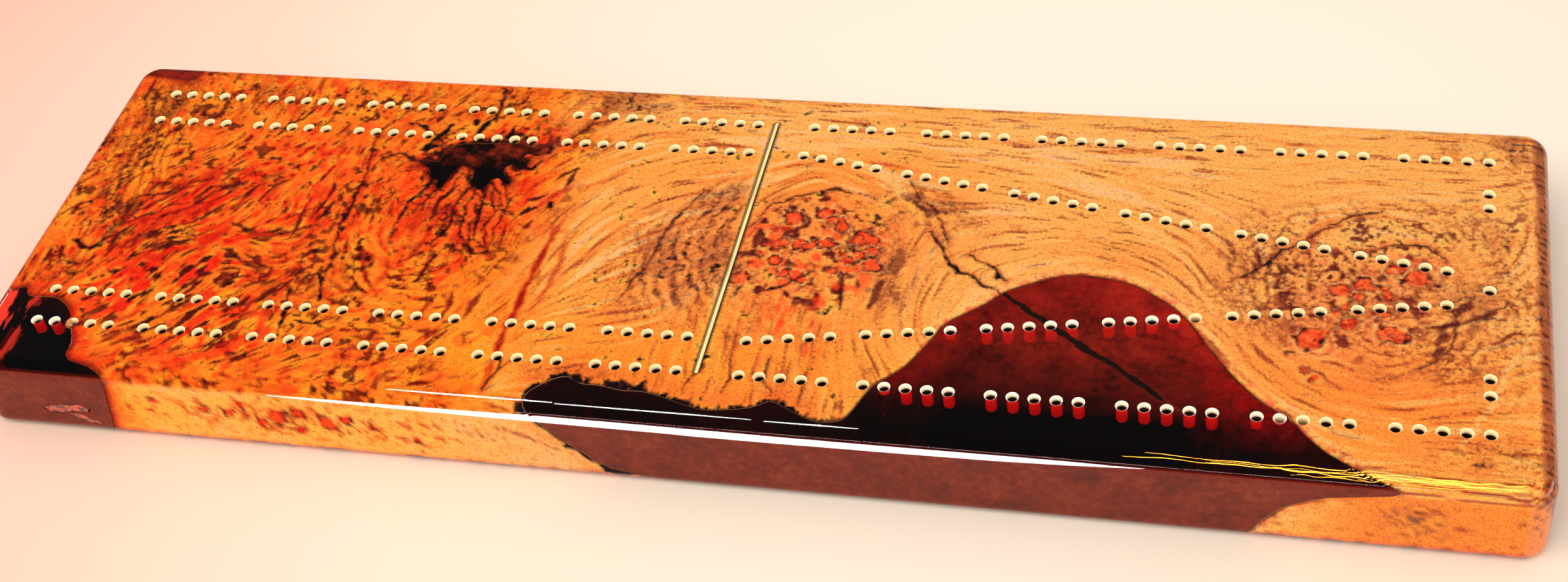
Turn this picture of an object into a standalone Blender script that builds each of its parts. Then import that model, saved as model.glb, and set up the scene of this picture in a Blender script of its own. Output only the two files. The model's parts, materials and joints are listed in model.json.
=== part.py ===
"""Wood-and-resin cribbage board with a peg store under a sliding lid.

Frame: metres, +Z up. The origin is the centre of the board's footprint on the
table. +X (right) runs along the board towards the finish hole, +Y (back)
towards the far long edge, and z = 0 is the underside that rests on the table.
All sizes below are in millimetres.

The board is one burl slab with three voids along its live edges filled with
ruby resin. The peg store opens through the underside. Each cutter is a hidden
helper object, used by the boolean modifiers of the pieces.
"""

import math

import bmesh
import bpy

for old_object in list(bpy.data.objects):
    bpy.data.objects.remove(old_object)

MM = 0.001

# ---------------------------------------------------------------- board blank
BOARD_LENGTH = 485.0  # along X
BOARD_WIDTH = 147.0  # along Y
BOARD_THICKNESS = 28.6  # 1 1/8 in
CORNER_RADIUS = 8.0  # vertical corners
TOP_ROUNDOVER = 4.76  # 3/16 in roundover bit
BOTTOM_ROUNDOVER = 3.2  # 1/8 in roundover bit
CORNER_SEGMENTS = 5
TOP_SEGMENTS = 4
BOTTOM_SEGMENTS = 3

GAP = 0.3  # clearance between touching pieces
CUT_OVERRUN = 1.0  # how far most cutters run past the face they open
CUT_OVERLAP = 0.2  # how far stacked cutters run into each other

# ---------------------------------------------------------------- peg holes
PITCH = 6.35  # hole to hole, 1/4 in
HOLE_DIAMETER = 3.3  # for 1/8 in pegs
HOLE_DEPTH = 10.5
HOLE_SIDES = 8
HOLE_OVERRUN = 3.0
HOLES_PER_GROUP = 5
GROUPS = 12
SKUNK_AFTER_GROUP = 6
GROUP_STEP = 37.76  # first hole of a group to first hole of the next
SKUNK_EXTRA = 7.0  # extra space where the skunk line crosses
FIRST_HOLE_X = -223.2
TRACK_CENTRE_Y = 2.3
OUTER_ROW_Y = 55.1  # outer rows, each side of the track centre
INNER_ROW_Y = 41.3  # inner rows left of the skunk line
BEND_START_X = 9.5  # right of the skunk line the inner rows lean inwards
BEND_END_X = 212.2
BEND_END_Y = 7.0
BEND_GROUP_STEP = 36.1
END_COLUMN_X = 224.5
START_HOLES_Y = (40.9, 34.6)  # each side of the track centre

# ---------------------------------------------------------------- skunk line
SKUNK_X = -2.6
SKUNK_WIDTH = 1.4
SKUNK_DEPTH = 1.6
SKUNK_CLEARANCE = 0.3
SKUNK_SHIFT_Y = 0.3  # line's middle, behind the track centre
SKUNK_END_SEGMENTS = 6

# ---------------------------------------------------------------- resin edges
# Live-edge lines as (x, y), at the top face and at the underside. The bark
# side of the slab slopes, so the wood runs on under the big front pour.
RIVER_TOP = [
    (-53, -74), (-52, -66), (-42, -59), (-35, -61), (-24, -62), (-10, -64),
    (3, -67), (14, -66), (22, -62), (30, -65), (39, -68.5), (46, -66),
    (51, -57), (57, -49), (62, -40), (69, -28), (78, -18), (88, -9.5),
    (98, -4.5), (108, -2.5), (119, -4), (130, -10), (140, -19), (150, -34),
    (161, -47.5), (174, -58.5), (186, -67.5), (198, -74),
]
RIVER_BOTTOM = [
    (-6, -74), (2, -71), (12, -71), (22, -68), (32, -71), (42, -72), (50, -69),
    (58, -61), (66, -51), (74, -41), (84, -31), (95, -24), (107, -20),
    (118, -22), (128, -29), (137, -40), (145, -53), (152, -64), (160, -74),
]
# (depth below the top face, share of the way from the top line to the bottom
# line), at the left and at the right end of the pour.
RIVER_SHIFT_LEFT = [
    (0, 0.0), (5, 0.126), (12.5, 0.245), (16.5, 0.35), (21, 0.436),
    (23.8, 0.53), (26, 0.80), (BOARD_THICKNESS, 1.0),
]
RIVER_SHIFT_RIGHT = [
    (0, 0.0), (3.3, -0.18), (5, -0.04), (7.5, 0.38), (10, 0.55), (13.7, 0.72),
    (18, 0.82), (22, 0.89), (BOARD_THICKNESS, 1.0),
]
# Levels are the depths at which each pour's edge is laid out.
RIVER_LEVELS = [0, 3.3, 5, 7.5, 10, 13.7, 18, 22, 23.8, 26, BOARD_THICKNESS]
RIVER_SAMPLES = 48

CORNER_TOP = [
    (-243, -40.5), (-238, -41), (-234, -39.5), (-231, -42.5), (-222, -43),
    (-216, -46), (-212, -51), (-207, -58), (-206.5, -65), (-204, -68.5),
    (-197, -70.5), (-190, -74),
]
CORNER_BOTTOM = [
    (-243, -45), (-238, -46), (-233, -46), (-228, -47), (-222, -48),
    (-218, -51), (-213, -54), (-208, -57), (-203, -59), (-198, -62),
    (-196, -67), (-196.5, -74),
]
CORNER_LEVELS = [0, 5, 12, 20, BOARD_THICKNESS]
CORNER_SAMPLES = 24

BACK_TOP = [
    (-243, 68.5), (-237.5, 67.2), (-231, 66.5), (-225, 65.6), (-220, 65),
    (-218.5, 68), (-217.5, 74),
]
BACK_BOTTOM = [
    (-243, 69.5), (-238.5, 68.6), (-233, 68), (-228, 67.6), (-224, 67.6),
    (-222.5, 69.5), (-222, 74),
]
BACK_LEVELS = [0, 8, 18, BOARD_THICKNESS]
BACK_SAMPLES = 12

SPLINE_STEPS = 12  # fine steps between two measured points
POUR_OVERRUN = 2.0  # above the top face and below the underside
OUTSIDE_X = -252  # lies left of the board
OUTSIDE_Y = 82  # lies outside the board, in front and behind

# ---------------------------------------------------------------- knot filling
# (x, y), clockwise seen from above.
KNOT_OUTLINE = [
    (-119, 24), (-113, 31), (-107, 36), (-101, 40), (-92, 41), (-84, 41),
    (-76.5, 40.5), (-72, 37), (-75, 33), (-80, 29), (-83, 26), (-88, 24),
    (-86, 19.5), (-92, 21), (-98, 15), (-102, 18), (-103, 25), (-108, 28),
    (-112, 25), (-117, 17), (-118, 20),
]
KNOT_DEPTH = 9.0
KNOT_BOTTOM_SHARE = 0.7  # outline scale at the bottom
KNOT_WAIST_HEIGHT = 0.6  # share of the depth, up from the bottom
KNOT_WAIST_SHARE = 0.92  # outline scale at that height
MITRE_COSINE_MIN = 0.35  # keeps sharp corners from growing too far

# ---------------------------------------------------------------- burl chips
# Bits of burl caught in the corner resin, cut through at the front face:
# (x, z) outlines on the front face.
CHIP_OUTLINES = {
    "burl_chip_upper": [
        (-218, 10.4), (-213, 11.8), (-205, 12.6), (-201.5, 11.4),
        (-202.5, 9.6), (-208, 9.6), (-212, 8.2), (-216.5, 8.4),
    ],
    "burl_chip_lower": [
        (-209.8, 8.0), (-206.5, 8.4), (-200.5, 5.2), (-199.5, 3.9),
        (-203.5, 4.4), (-207.5, 6.2),
    ],
}
CHIP_REACH = 4.5  # depth behind the front face
CHIP_FULL_REACH = 2.0  # depth to which the outline keeps its size
CHIP_TIP_SHARE = 0.6  # outline scale at the full reach
CHIP_OVERRUN = 3.0

# ---------------------------------------------------------------- peg store
STORE_Y = -12.0
STORE_X0, STORE_X1 = -148.0, -66.0
STORE_WIDTH = 21.0
STORE_TOP_Z = 17.0
STORE_RADIUS = 5.0

LIP_THICKNESS = 1.9  # wood left below the groove
LIP_OPENING = 22.6
LIP_INSET = 2.0  # lip's hold on the lid's left end
LIP_RADIUS = 4.0

LID_LENGTH, LID_WIDTH, LID_THICKNESS = 88.0, 27.0, 1.2
LID_RADIUS = 3.0
LID_CLEARANCE = 0.3
LID_X0 = -150.0  # closed position
LID_X1 = LID_X0 + LID_LENGTH
LID_Z0 = LIP_THICKNESS + LID_CLEARANCE
LID_END_CLEARANCE = 1.0  # groove and lip opening run past the lid's right end

GROOVE_TOP_Z = LID_Z0 + LID_THICKNESS + LID_CLEARANCE
GROOVE_WIDTH = LID_WIDTH + 2 * LID_CLEARANCE

# The entry is the full-width recess into which the lid slides open.
ENTRY_OVERLAP = 2.0  # starts left of the closed lid's right end
ENTRY_EXTRA = 4.0  # runs on past one lid length
ENTRY_RADIUS = 2.0
ENTRY_SEGMENTS = 3
POCKET_SEGMENTS = 4  # rounded corners of the lid, store and lip opening

FINGER_RADIUS = 4.0
FINGER_INSET = 9.0  # hole centre from the lid's right end
FINGER_SIDES = 16

# ---------------------------------------------------------------- pegs
PEG_LENGTH = 34.0
PEG_POINT_RADIUS, PEG_SHANK_RADIUS, PEG_HEAD_RADIUS = 1.15, 1.5, 2.6
PEG_NECK_RADIUS = PEG_HEAD_RADIUS * 0.72
PEG_SHANK_LENGTH = 12.0
PEG_SIDES = 12
PEG_ROW_Y = 5.2  # each side of the store's middle
PEG_END_SPACE = 3.0  # between a peg's point and the end of the store
PEG_SHARP_ANGLE = 35  # degrees
PEG_PROFILE = [  # (distance from the point, radius)
    (0.0, PEG_POINT_RADIUS * 0.7),
    (0.8, PEG_POINT_RADIUS),
    (PEG_SHANK_LENGTH, PEG_SHANK_RADIUS),
    (PEG_SHANK_LENGTH + 1.0, PEG_SHANK_RADIUS + 0.5),
    (PEG_LENGTH - 7.0, PEG_NECK_RADIUS),
    (PEG_LENGTH - 5.0, PEG_NECK_RADIUS),
    (PEG_LENGTH - 4.0, PEG_HEAD_RADIUS),
    (PEG_LENGTH - 1.2, PEG_HEAD_RADIUS),
    (PEG_LENGTH, PEG_HEAD_RADIUS * 0.62),
]

# ---------------------------------------------------------------- finishes
BURL = dict(color=(0.82, 0.42, 0.14), roughness=0.25, coat=1.0)
CHIP_BURL = dict(color=(0.75, 0.28, 0.12), roughness=0.3, coat=1.0)
RUBY_RESIN = dict(color=(0.16, 0.008, 0.006), roughness=0.12, coat=1.0)
DARK_FILLING = dict(color=(0.02, 0.008, 0.006), roughness=0.15, coat=1.0)
SKUNK_METAL = dict(color=(0.85, 0.66, 0.32), roughness=0.25, metallic=1.0)
LID_METAL = dict(color=(0.80, 0.60, 0.28), roughness=0.35, metallic=1.0)
PEG_BRASS = dict(color=(0.85, 0.63, 0.28), roughness=0.2, metallic=1.0)
PEG_STEEL = dict(color=(0.62, 0.62, 0.64), roughness=0.25, metallic=1.0)


# ================================================================ plane curves
def between(start, end, share):
    """The point a share of the way from start to end."""
    return (start[0] + share * (end[0] - start[0]),
            start[1] + share * (end[1] - start[1]))


def mean_point(points):
    return (sum(p[0] for p in points) / len(points),
            sum(p[1] for p in points) / len(points))


def circle(centre, radius, sides, phase=0.0):
    """Regular polygon; phase turns it by that share of one side."""
    angles = [2 * math.pi * (i + phase) / sides for i in range(sides)]
    return [(centre[0] + radius * math.cos(angle),
             centre[1] + radius * math.sin(angle)) for angle in angles]


def arc(centre, radius, start, sweep, segments):
    """Arc with its start and sweep in quarter turns."""
    angles = [math.pi / 2 * (start + sweep * i / segments)
              for i in range(segments + 1)]
    return [(centre[0] + radius * math.cos(angle),
             centre[1] + radius * math.sin(angle)) for angle in angles]


def rounded_rectangle(length, width, radius, segments, centre=(0.0, 0.0)):
    outline = []
    for quarter, (sign_x, sign_y) in enumerate(
            ((1, 1), (-1, 1), (-1, -1), (1, -1))):
        corner = (centre[0] + sign_x * (length / 2 - radius),
                  centre[1] + sign_y * (width / 2 - radius))
        outline += arc(corner, radius, quarter, 1, segments)
    return outline


def spline(points, samples):
    """Catmull-Rom curve through the points, sampled evenly along its length."""
    fine = []
    last = len(points) - 1
    for i in range(last):
        controls = (points[max(i - 1, 0)], points[i], points[i + 1],
                    points[min(i + 2, last)])
        for k in range(SPLINE_STEPS):
            t = k / SPLINE_STEPS
            fine.append(tuple(
                0.5 * (2 * start + (end - before) * t
                       + (2 * before - 5 * start + 4 * end - after) * t * t
                       + (3 * start - before - 3 * end + after) * t ** 3)
                for before, start, end, after in zip(*controls)))
    fine.append(tuple(float(c) for c in points[-1]))

    run = [0.0]  # length of the curve up to each fine point
    for start, end in zip(fine, fine[1:]):
        run.append(run[-1] + math.dist(start, end))
    curve = []
    j = 0
    for k in range(samples):
        target = run[-1] * k / (samples - 1)
        while j < len(run) - 2 and run[j + 1] < target:
            j += 1
        share = (target - run[j]) / max(run[j + 1] - run[j], 1e-9)
        curve.append(between(fine[j], fine[j + 1], share))
    return curve


def lookup(rows, x):
    """Straight-line lookup in (x, value) rows."""
    for (x0, value0), (x1, value1) in zip(rows, rows[1:]):
        if x <= x1:
            return value0 + (value1 - value0) * (x - x0) / (x1 - x0)
    return rows[-1][1]


def offset_line(points, distance):
    """Moves an open line sideways, to the left of its direction of travel."""
    moved = []
    last = len(points) - 1
    for i, (x, y) in enumerate(points):
        before, after = points[max(i - 1, 0)], points[min(i + 1, last)]
        dx, dy = after[0] - before[0], after[1] - before[1]
        length = math.hypot(dx, dy) or 1.0
        moved.append((x - dy / length * distance, y + dx / length * distance))
    return moved


def grow_clockwise(outline, distance):
    """Grows a closed clockwise outline with mitred corners."""
    grown = []
    for i, (x, y) in enumerate(outline):
        before, after = outline[i - 1], outline[(i + 1) % len(outline)]
        edge_in = (x - before[0], y - before[1])
        edge_out = (after[0] - x, after[1] - y)
        length_in, length_out = math.hypot(*edge_in), math.hypot(*edge_out)
        normal_x = -(edge_in[1] / length_in + edge_out[1] / length_out)
        normal_y = edge_in[0] / length_in + edge_out[0] / length_out
        length = math.hypot(normal_x, normal_y)
        cosine = max(length / 2, MITRE_COSINE_MIN)
        grown.append((x + normal_x / length * distance / cosine,
                      y + normal_y / length * distance / cosine))
    return grown


# ================================================================ solids
def at_height(outline, z):
    return [(x, y, z) for x, y in outline]


def add_stack(bm, rings):
    """Adds a closed solid through equal rings of points. Each side panel is
    split along the same diagonal, so a shape and its clearance twist alike."""
    loops = [[bm.verts.new([c * MM for c in point]) for point in ring]
             for ring in rings]
    count = len(loops[0])
    for lower, upper in zip(loops, loops[1:]):
        for i in range(count):
            j = (i + 1) % count
            bm.faces.new((lower[i], lower[j], upper[j]))
            bm.faces.new((lower[i], upper[j], upper[i]))
    caps = [bm.faces.new(list(reversed(loops[0]))), bm.faces.new(loops[-1])]
    bmesh.ops.triangulate(bm, faces=caps, ngon_method="EAR_CLIP")


def make_object(name, stacks, hidden=False):
    """One object from one or more stacks of rings."""
    bm = bmesh.new()
    for rings in stacks:
        add_stack(bm, rings)
    mesh = bpy.data.meshes.new(name)
    bmesh.ops.recalc_face_normals(bm, faces=bm.faces)
    bm.to_mesh(mesh)
    bm.free()
    obj = bpy.data.objects.new(name, mesh)
    bpy.context.scene.collection.objects.link(obj)
    if hidden:
        obj.hide_render = True
        obj.display_type = "WIRE"
    return obj


def make_prism(name, outline, z0, z1, hidden=False):
    rings = [at_height(outline, z0), at_height(outline, z1)]
    return make_object(name, [rings], hidden)


def boolean(obj, cutter, operation="DIFFERENCE"):
    modifier = obj.modifiers.new(operation.title() + "_" + cutter.name,
                                 "BOOLEAN")
    modifier.operation = operation
    modifier.solver = "EXACT"
    modifier.object = cutter


def make_blank(name):
    """The whole rounded block, built from the underside up."""
    profile = []  # (inset from the side wall, z)
    for i in range(BOTTOM_SEGMENTS + 1):
        angle = math.pi / 2 * i / BOTTOM_SEGMENTS
        profile.append((BOTTOM_ROUNDOVER * (1 - math.sin(angle)),
                        BOTTOM_ROUNDOVER * (1 - math.cos(angle))))
    for i in range(TOP_SEGMENTS + 1):
        angle = math.pi / 2 * i / TOP_SEGMENTS
        profile.append((TOP_ROUNDOVER * (1 - math.cos(angle)),
                        BOARD_THICKNESS - TOP_ROUNDOVER * (1 - math.sin(angle))))
    rings = [
        at_height(rounded_rectangle(BOARD_LENGTH - 2 * inset,
                                    BOARD_WIDTH - 2 * inset,
                                    CORNER_RADIUS - inset, CORNER_SEGMENTS), z)
        for inset, z in profile]
    return make_object(name, [rings])


def make_from_blank(name, volume):
    """The part of the rounded block that lies inside a volume."""
    obj = make_blank(name)
    boolean(obj, volume, "INTERSECT")
    return obj


def set_finish(obj, color, roughness, metallic=0.0, coat=0.0):
    mat = bpy.data.materials.new(obj.name + "_finish")
    mat.use_nodes = True
    shader = mat.node_tree.nodes["Principled BSDF"]
    shader.inputs["Base Color"].default_value = (*color, 1.0)
    shader.inputs["Roughness"].default_value = roughness
    shader.inputs["Metallic"].default_value = metallic
    shader.inputs["Coat Weight"].default_value = coat
    obj.data.materials.append(mat)


# ================================================================ peg holes
def hole_centres():
    """Centres of all 245 holes."""
    holes = []
    for group in range(GROUPS):
        past_skunk = group >= SKUNK_AFTER_GROUP
        for hole in range(HOLES_PER_GROUP):
            x = FIRST_HOLE_X + group * GROUP_STEP + hole * PITCH
            if past_skunk:
                x += SKUNK_EXTRA
            for side in (1, -1):
                holes.append((x, TRACK_CENTRE_Y + side * OUTER_ROW_Y))
                if not past_skunk:
                    holes.append((x, TRACK_CENTRE_Y + side * INNER_ROW_Y))

    bend_start = (BEND_START_X, INNER_ROW_Y)
    bend_end = (BEND_END_X, BEND_END_Y)
    bend_length = math.dist(bend_start, bend_end)
    for group in range(GROUPS - SKUNK_AFTER_GROUP):
        for hole in range(HOLES_PER_GROUP):
            share = (group * BEND_GROUP_STEP + hole * PITCH) / bend_length
            x, y = between(bend_start, bend_end, share)
            for side in (1, -1):
                holes.append((x, TRACK_CENTRE_Y + side * y))

    for y in START_HOLES_Y:
        for side in (1, -1):
            holes.append((END_COLUMN_X, TRACK_CENTRE_Y + side * y))
    holes.append((END_COLUMN_X, TRACK_CENTRE_Y))  # finish hole
    return holes


def make_hole_cutter(name, centres):
    stacks = []
    for centre in centres:
        outline = circle(centre, HOLE_DIAMETER / 2, HOLE_SIDES, phase=0.5)
        stacks.append([at_height(outline, BOARD_THICKNESS - HOLE_DEPTH),
                       at_height(outline, BOARD_THICKNESS + HOLE_OVERRUN)])
    return make_object(name, stacks, hidden=True)


# ================================================================ resin pours
def river_line(depth):
    """Edge of the big front pour; its two ends slope differently."""
    left = lookup(RIVER_SHIFT_LEFT, depth)
    right = lookup(RIVER_SHIFT_RIGHT, depth)
    line = []
    for i, (top, bottom) in enumerate(zip(spline(RIVER_TOP, RIVER_SAMPLES),
                                          spline(RIVER_BOTTOM, RIVER_SAMPLES))):
        t = i / (RIVER_SAMPLES - 1)
        weight = t * t * (3 - 2 * t)
        line.append(between(top, bottom, left * (1 - weight) + right * weight))
    return line


def straight_line(top_points, bottom_points, samples, depth):
    """Edge of a pour that slopes evenly from the top to the underside."""
    share = depth / BOARD_THICKNESS
    return [between(top, bottom, share)
            for top, bottom in zip(spline(top_points, samples),
                                   spline(bottom_points, samples))]


def corner_line(depth):
    return straight_line(CORNER_TOP, CORNER_BOTTOM, CORNER_SAMPLES, depth)


def back_line(depth):
    return straight_line(BACK_TOP, BACK_BOTTOM, BACK_SAMPLES, depth)


def close_front(line):
    """Points outside the front face that close a line along it."""
    return [(line[-1][0], -OUTSIDE_Y), (line[0][0], -OUTSIDE_Y)]


def close_left_front(line):
    return [(line[-1][0], -OUTSIDE_Y), (OUTSIDE_X, -OUTSIDE_Y),
            (OUTSIDE_X, line[0][1])]


def close_left_back(line):
    return [(line[-1][0], OUTSIDE_Y), (OUTSIDE_X, OUTSIDE_Y),
            (OUTSIDE_X, line[0][1])]


def make_pour(name, line_at, levels, close, growth=0.0):
    """A pour's volume, carried past the top face and the underside."""
    rings = []
    for depth in reversed(levels):
        z = BOARD_THICKNESS - depth
        if depth == levels[0]:
            z = BOARD_THICKNESS + POUR_OVERRUN
        elif depth == levels[-1]:
            z = -POUR_OVERRUN
        line = offset_line(line_at(depth), growth)
        rings.append(at_height(line + close(line), z))
    return make_object(name, [rings], hidden=True)


def make_resin(part, piece_name, line_at, levels, close, wood_side):
    """A resin piece and the wider void it leaves in the slab. wood_side is 1
    if the wood lies to the left of the line's travel, -1 if to the right."""
    raw = make_pour(part + "_raw", line_at, levels, close)
    space = make_pour(part + "_space", line_at, levels, close, wood_side * GAP)
    resin = make_from_blank(piece_name, raw)
    set_finish(resin, **RUBY_RESIN)
    return resin, space


# ================================================================ burl chips
def make_chip_volume(name, outline, growth):
    """A chip as a stack of outlines that shrinks behind the front face."""
    centre_x, centre_z = mean_point(outline)
    front = -BOARD_WIDTH / 2
    rings = []
    for y, share in ((front - CHIP_OVERRUN, 1.0),
                     (front + CHIP_FULL_REACH, 1.0),
                     (front + CHIP_REACH + growth, CHIP_TIP_SHARE)):
        ring = []
        for x, z in outline:
            dx, dz = (x - centre_x) * share, (z - centre_z) * share
            scale = 1 + growth / math.hypot(dx, dz)
            ring.append((centre_x + dx * scale, y, centre_z + dz * scale))
        rings.append(ring)
    return make_object(name, [rings], hidden=True)


def make_chip(name, outline, resin):
    chip = make_from_blank(name, make_chip_volume(name + "_raw", outline, 0.0))
    boolean(resin, make_chip_volume(name + "_space", outline, GAP))
    set_finish(chip, **CHIP_BURL)


# ================================================================ knot filling
def make_knot(name, growth=0.0, hidden=False):
    """The knot filling or, with growth, the wider and deeper void for it."""
    centre = mean_point(KNOT_OUTLINE)
    outline = grow_clockwise(KNOT_OUTLINE, growth)
    bottom = BOARD_THICKNESS - KNOT_DEPTH
    levels = [  # (z, outline scale)
        (bottom, KNOT_BOTTOM_SHARE),
        (bottom + KNOT_DEPTH * KNOT_WAIST_HEIGHT, KNOT_WAIST_SHARE),
        (BOARD_THICKNESS, 1.0),
    ]
    if growth > 0:
        levels.insert(0, (bottom - growth, KNOT_BOTTOM_SHARE))
        levels.append((BOARD_THICKNESS + CUT_OVERRUN, 1.0))
    rings = [at_height([between(centre, point, share) for point in outline], z)
             for z, share in levels]
    return make_object(name, [rings], hidden)


# ================================================================ skunk line
def make_skunk_bar(name, half_width, z0, z1, hidden=False):
    """A bar across the board with half-round ends."""
    middle_y = TRACK_CENTRE_Y + SKUNK_SHIFT_Y
    outline = []
    for side, start in ((1, 0), (-1, 2)):
        outline += arc((SKUNK_X, middle_y + side * OUTER_ROW_Y), half_width,
                       start, 2, SKUNK_END_SEGMENTS)
    return make_prism(name, outline, z0, z1, hidden)


# ================================================================ peg store
def make_pocket(name, x0, x1, width, radius, z0, z1, segments=POCKET_SEGMENTS):
    """Cutter with rounded corners, centred on the store's long axis."""
    outline = rounded_rectangle(x1 - x0, width, radius, segments,
                                ((x0 + x1) / 2, STORE_Y))
    return make_prism(name, outline, z0, z1, hidden=True)


def make_store_cutters():
    right_end = LID_X1 + LID_END_CLEARANCE
    store = make_pocket("store_space", STORE_X0, STORE_X1, STORE_WIDTH,
                        STORE_RADIUS, GROOVE_TOP_Z - CUT_OVERLAP, STORE_TOP_Z)
    x0 = LID_X0 - LID_CLEARANCE
    y0, y1 = STORE_Y - GROOVE_WIDTH / 2, STORE_Y + GROOVE_WIDTH / 2
    groove = make_prism(
        "groove_space", [(x0, y0), (right_end, y0), (right_end, y1), (x0, y1)],
        LIP_THICKNESS, GROOVE_TOP_Z, hidden=True)
    lip = make_pocket("lip_space", LID_X0 + LIP_INSET, right_end, LIP_OPENING,
                      LIP_RADIUS, -CUT_OVERRUN, LIP_THICKNESS + CUT_OVERLAP)
    entry = make_pocket("entry_space", LID_X1 - ENTRY_OVERLAP,
                        LID_X1 + LID_LENGTH + ENTRY_EXTRA, GROOVE_WIDTH,
                        ENTRY_RADIUS, -CUT_OVERRUN, GROOVE_TOP_Z,
                        ENTRY_SEGMENTS)
    return [groove, store, lip, entry]


def make_lid():
    """Sliding lid, origin at its middle, with a finger hole near its right
    end."""
    lid = make_prism("store_lid",
                     rounded_rectangle(LID_LENGTH, LID_WIDTH, LID_RADIUS,
                                       POCKET_SEGMENTS),
                     -LID_THICKNESS / 2, LID_THICKNESS / 2)
    lid.location = ((LID_X0 + LID_LENGTH / 2) * MM, STORE_Y * MM,
                    (LID_Z0 + LID_THICKNESS / 2) * MM)
    finger_cut = make_prism(
        "finger_cut",
        circle((LID_X1 - FINGER_INSET, STORE_Y), FINGER_RADIUS, FINGER_SIDES),
        LID_Z0 - CUT_OVERRUN, LID_Z0 + LID_THICKNESS + CUT_OVERRUN, hidden=True)
    boolean(lid, finger_cut)
    set_finish(lid, **LID_METAL)


def make_peg(name, centre_x, y, direction, finish):
    """Turned peg along X, origin at its middle. Its head points to +X for
    direction 1 and to -X for direction -1."""
    rings = []
    for along, radius in PEG_PROFILE:
        x = direction * (along - PEG_LENGTH / 2)
        rings.append([(x, ring_y, ring_z) for ring_y, ring_z
                      in circle((0.0, 0.0), radius, PEG_SIDES)])
    peg = make_object(name, [rings])
    for polygon in peg.data.polygons:
        polygon.use_smooth = True
    peg.data.set_sharp_from_angle(angle=math.radians(PEG_SHARP_ANGLE))
    z = LID_Z0 + LID_THICKNESS + GAP + PEG_HEAD_RADIUS
    peg.location = (centre_x * MM, y * MM, z * MM)
    set_finish(peg, **finish)


def make_pegs():
    """Two pegs of each metal, lying head to head."""
    inset = PEG_END_SPACE + PEG_LENGTH / 2
    for metal, side, finish in (("brass", -1, PEG_BRASS),
                                ("steel", 1, PEG_STEEL)):
        y = STORE_Y + side * PEG_ROW_Y
        make_peg(f"peg_{metal}_1", STORE_X0 + inset, y, 1, finish)
        make_peg(f"peg_{metal}_2", STORE_X1 - inset, y, -1, finish)


# ================================================================ assembly
holes = hole_centres()

resin_river, river_space = make_resin(
    "river", "resin_river", river_line, RIVER_LEVELS, close_front, 1)
boolean(resin_river, make_hole_cutter(
    "river_holes", [(x, y) for x, y in holes if 40 < x < 190 and y < 0]))

resin_corner, corner_space = make_resin(
    "corner", "resin_corner_front", corner_line, CORNER_LEVELS,
    close_left_front, 1)
boolean(resin_corner, make_hole_cutter(
    "corner_holes", [(x, y) for x, y in holes if x < -195 and y < -35]))
for chip_name, chip_outline in CHIP_OUTLINES.items():
    make_chip(chip_name, chip_outline, resin_corner)

_, back_space = make_resin(
    "back", "resin_corner_back", back_line, BACK_LEVELS, close_left_back, -1)

knot_fill = make_knot("knot_fill")
set_finish(knot_fill, **DARK_FILLING)
knot_space = make_knot("knot_space", GAP, hidden=True)

skunk_bottom = BOARD_THICKNESS - SKUNK_DEPTH
skunk_line = make_skunk_bar("skunk_line", SKUNK_WIDTH / 2,
                            skunk_bottom, BOARD_THICKNESS)
set_finish(skunk_line, **SKUNK_METAL)
skunk_slot = make_skunk_bar("skunk_slot", SKUNK_WIDTH / 2 + SKUNK_CLEARANCE,
                            skunk_bottom - GAP, BOARD_THICKNESS + CUT_OVERRUN,
                            hidden=True)

make_lid()
make_pegs()

burl_slab = make_blank("burl_slab")
for slab_cutter in (*make_store_cutters(), skunk_slot, knot_space, river_space,
                    corner_space, back_space,
                    make_hole_cutter("wood_holes", holes)):
    boolean(burl_slab, slab_cutter)
set_finish(burl_slab, **BURL)
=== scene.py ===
"""Cribbage board: a mottled burl slab with ruby resin cast against its live
edge, built as fine closed meshes over the CAD pieces.

Lengths are millimetres until a mesh is written (MM = 0.001); materials and the
stage are in metres. Frame: +Z up, origin at the centre of the footprint on the
table, +X towards the finish hole, +Y towards the back long edge.

The slab's skin is also laid out flat on an unrolled plane: there the top face
keeps its x and y, and the roundovers and sides follow outside it, by their
length along the profile.
"""

import json
import math

import bpy
import numpy as np
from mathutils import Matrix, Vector
from mathutils.geometry import delaunay_2d_cdt

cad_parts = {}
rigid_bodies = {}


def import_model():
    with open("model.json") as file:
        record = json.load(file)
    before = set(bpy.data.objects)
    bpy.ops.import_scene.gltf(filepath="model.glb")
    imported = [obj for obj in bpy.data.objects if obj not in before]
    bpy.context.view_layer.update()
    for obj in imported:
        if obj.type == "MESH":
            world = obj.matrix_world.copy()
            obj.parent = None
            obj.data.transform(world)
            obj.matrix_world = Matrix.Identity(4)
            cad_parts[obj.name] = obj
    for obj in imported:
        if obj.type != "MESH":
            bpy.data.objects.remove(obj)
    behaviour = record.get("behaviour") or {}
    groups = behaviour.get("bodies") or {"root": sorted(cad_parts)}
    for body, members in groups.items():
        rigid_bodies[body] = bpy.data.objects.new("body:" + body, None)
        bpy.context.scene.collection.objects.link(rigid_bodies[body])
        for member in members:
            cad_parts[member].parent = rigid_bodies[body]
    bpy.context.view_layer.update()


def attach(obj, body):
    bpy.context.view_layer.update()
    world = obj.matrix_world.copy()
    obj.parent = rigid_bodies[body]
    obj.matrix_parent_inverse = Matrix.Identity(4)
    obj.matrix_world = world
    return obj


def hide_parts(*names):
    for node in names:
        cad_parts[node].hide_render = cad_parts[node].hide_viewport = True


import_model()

MM = 0.001
QUARTER = math.pi / 2

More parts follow.
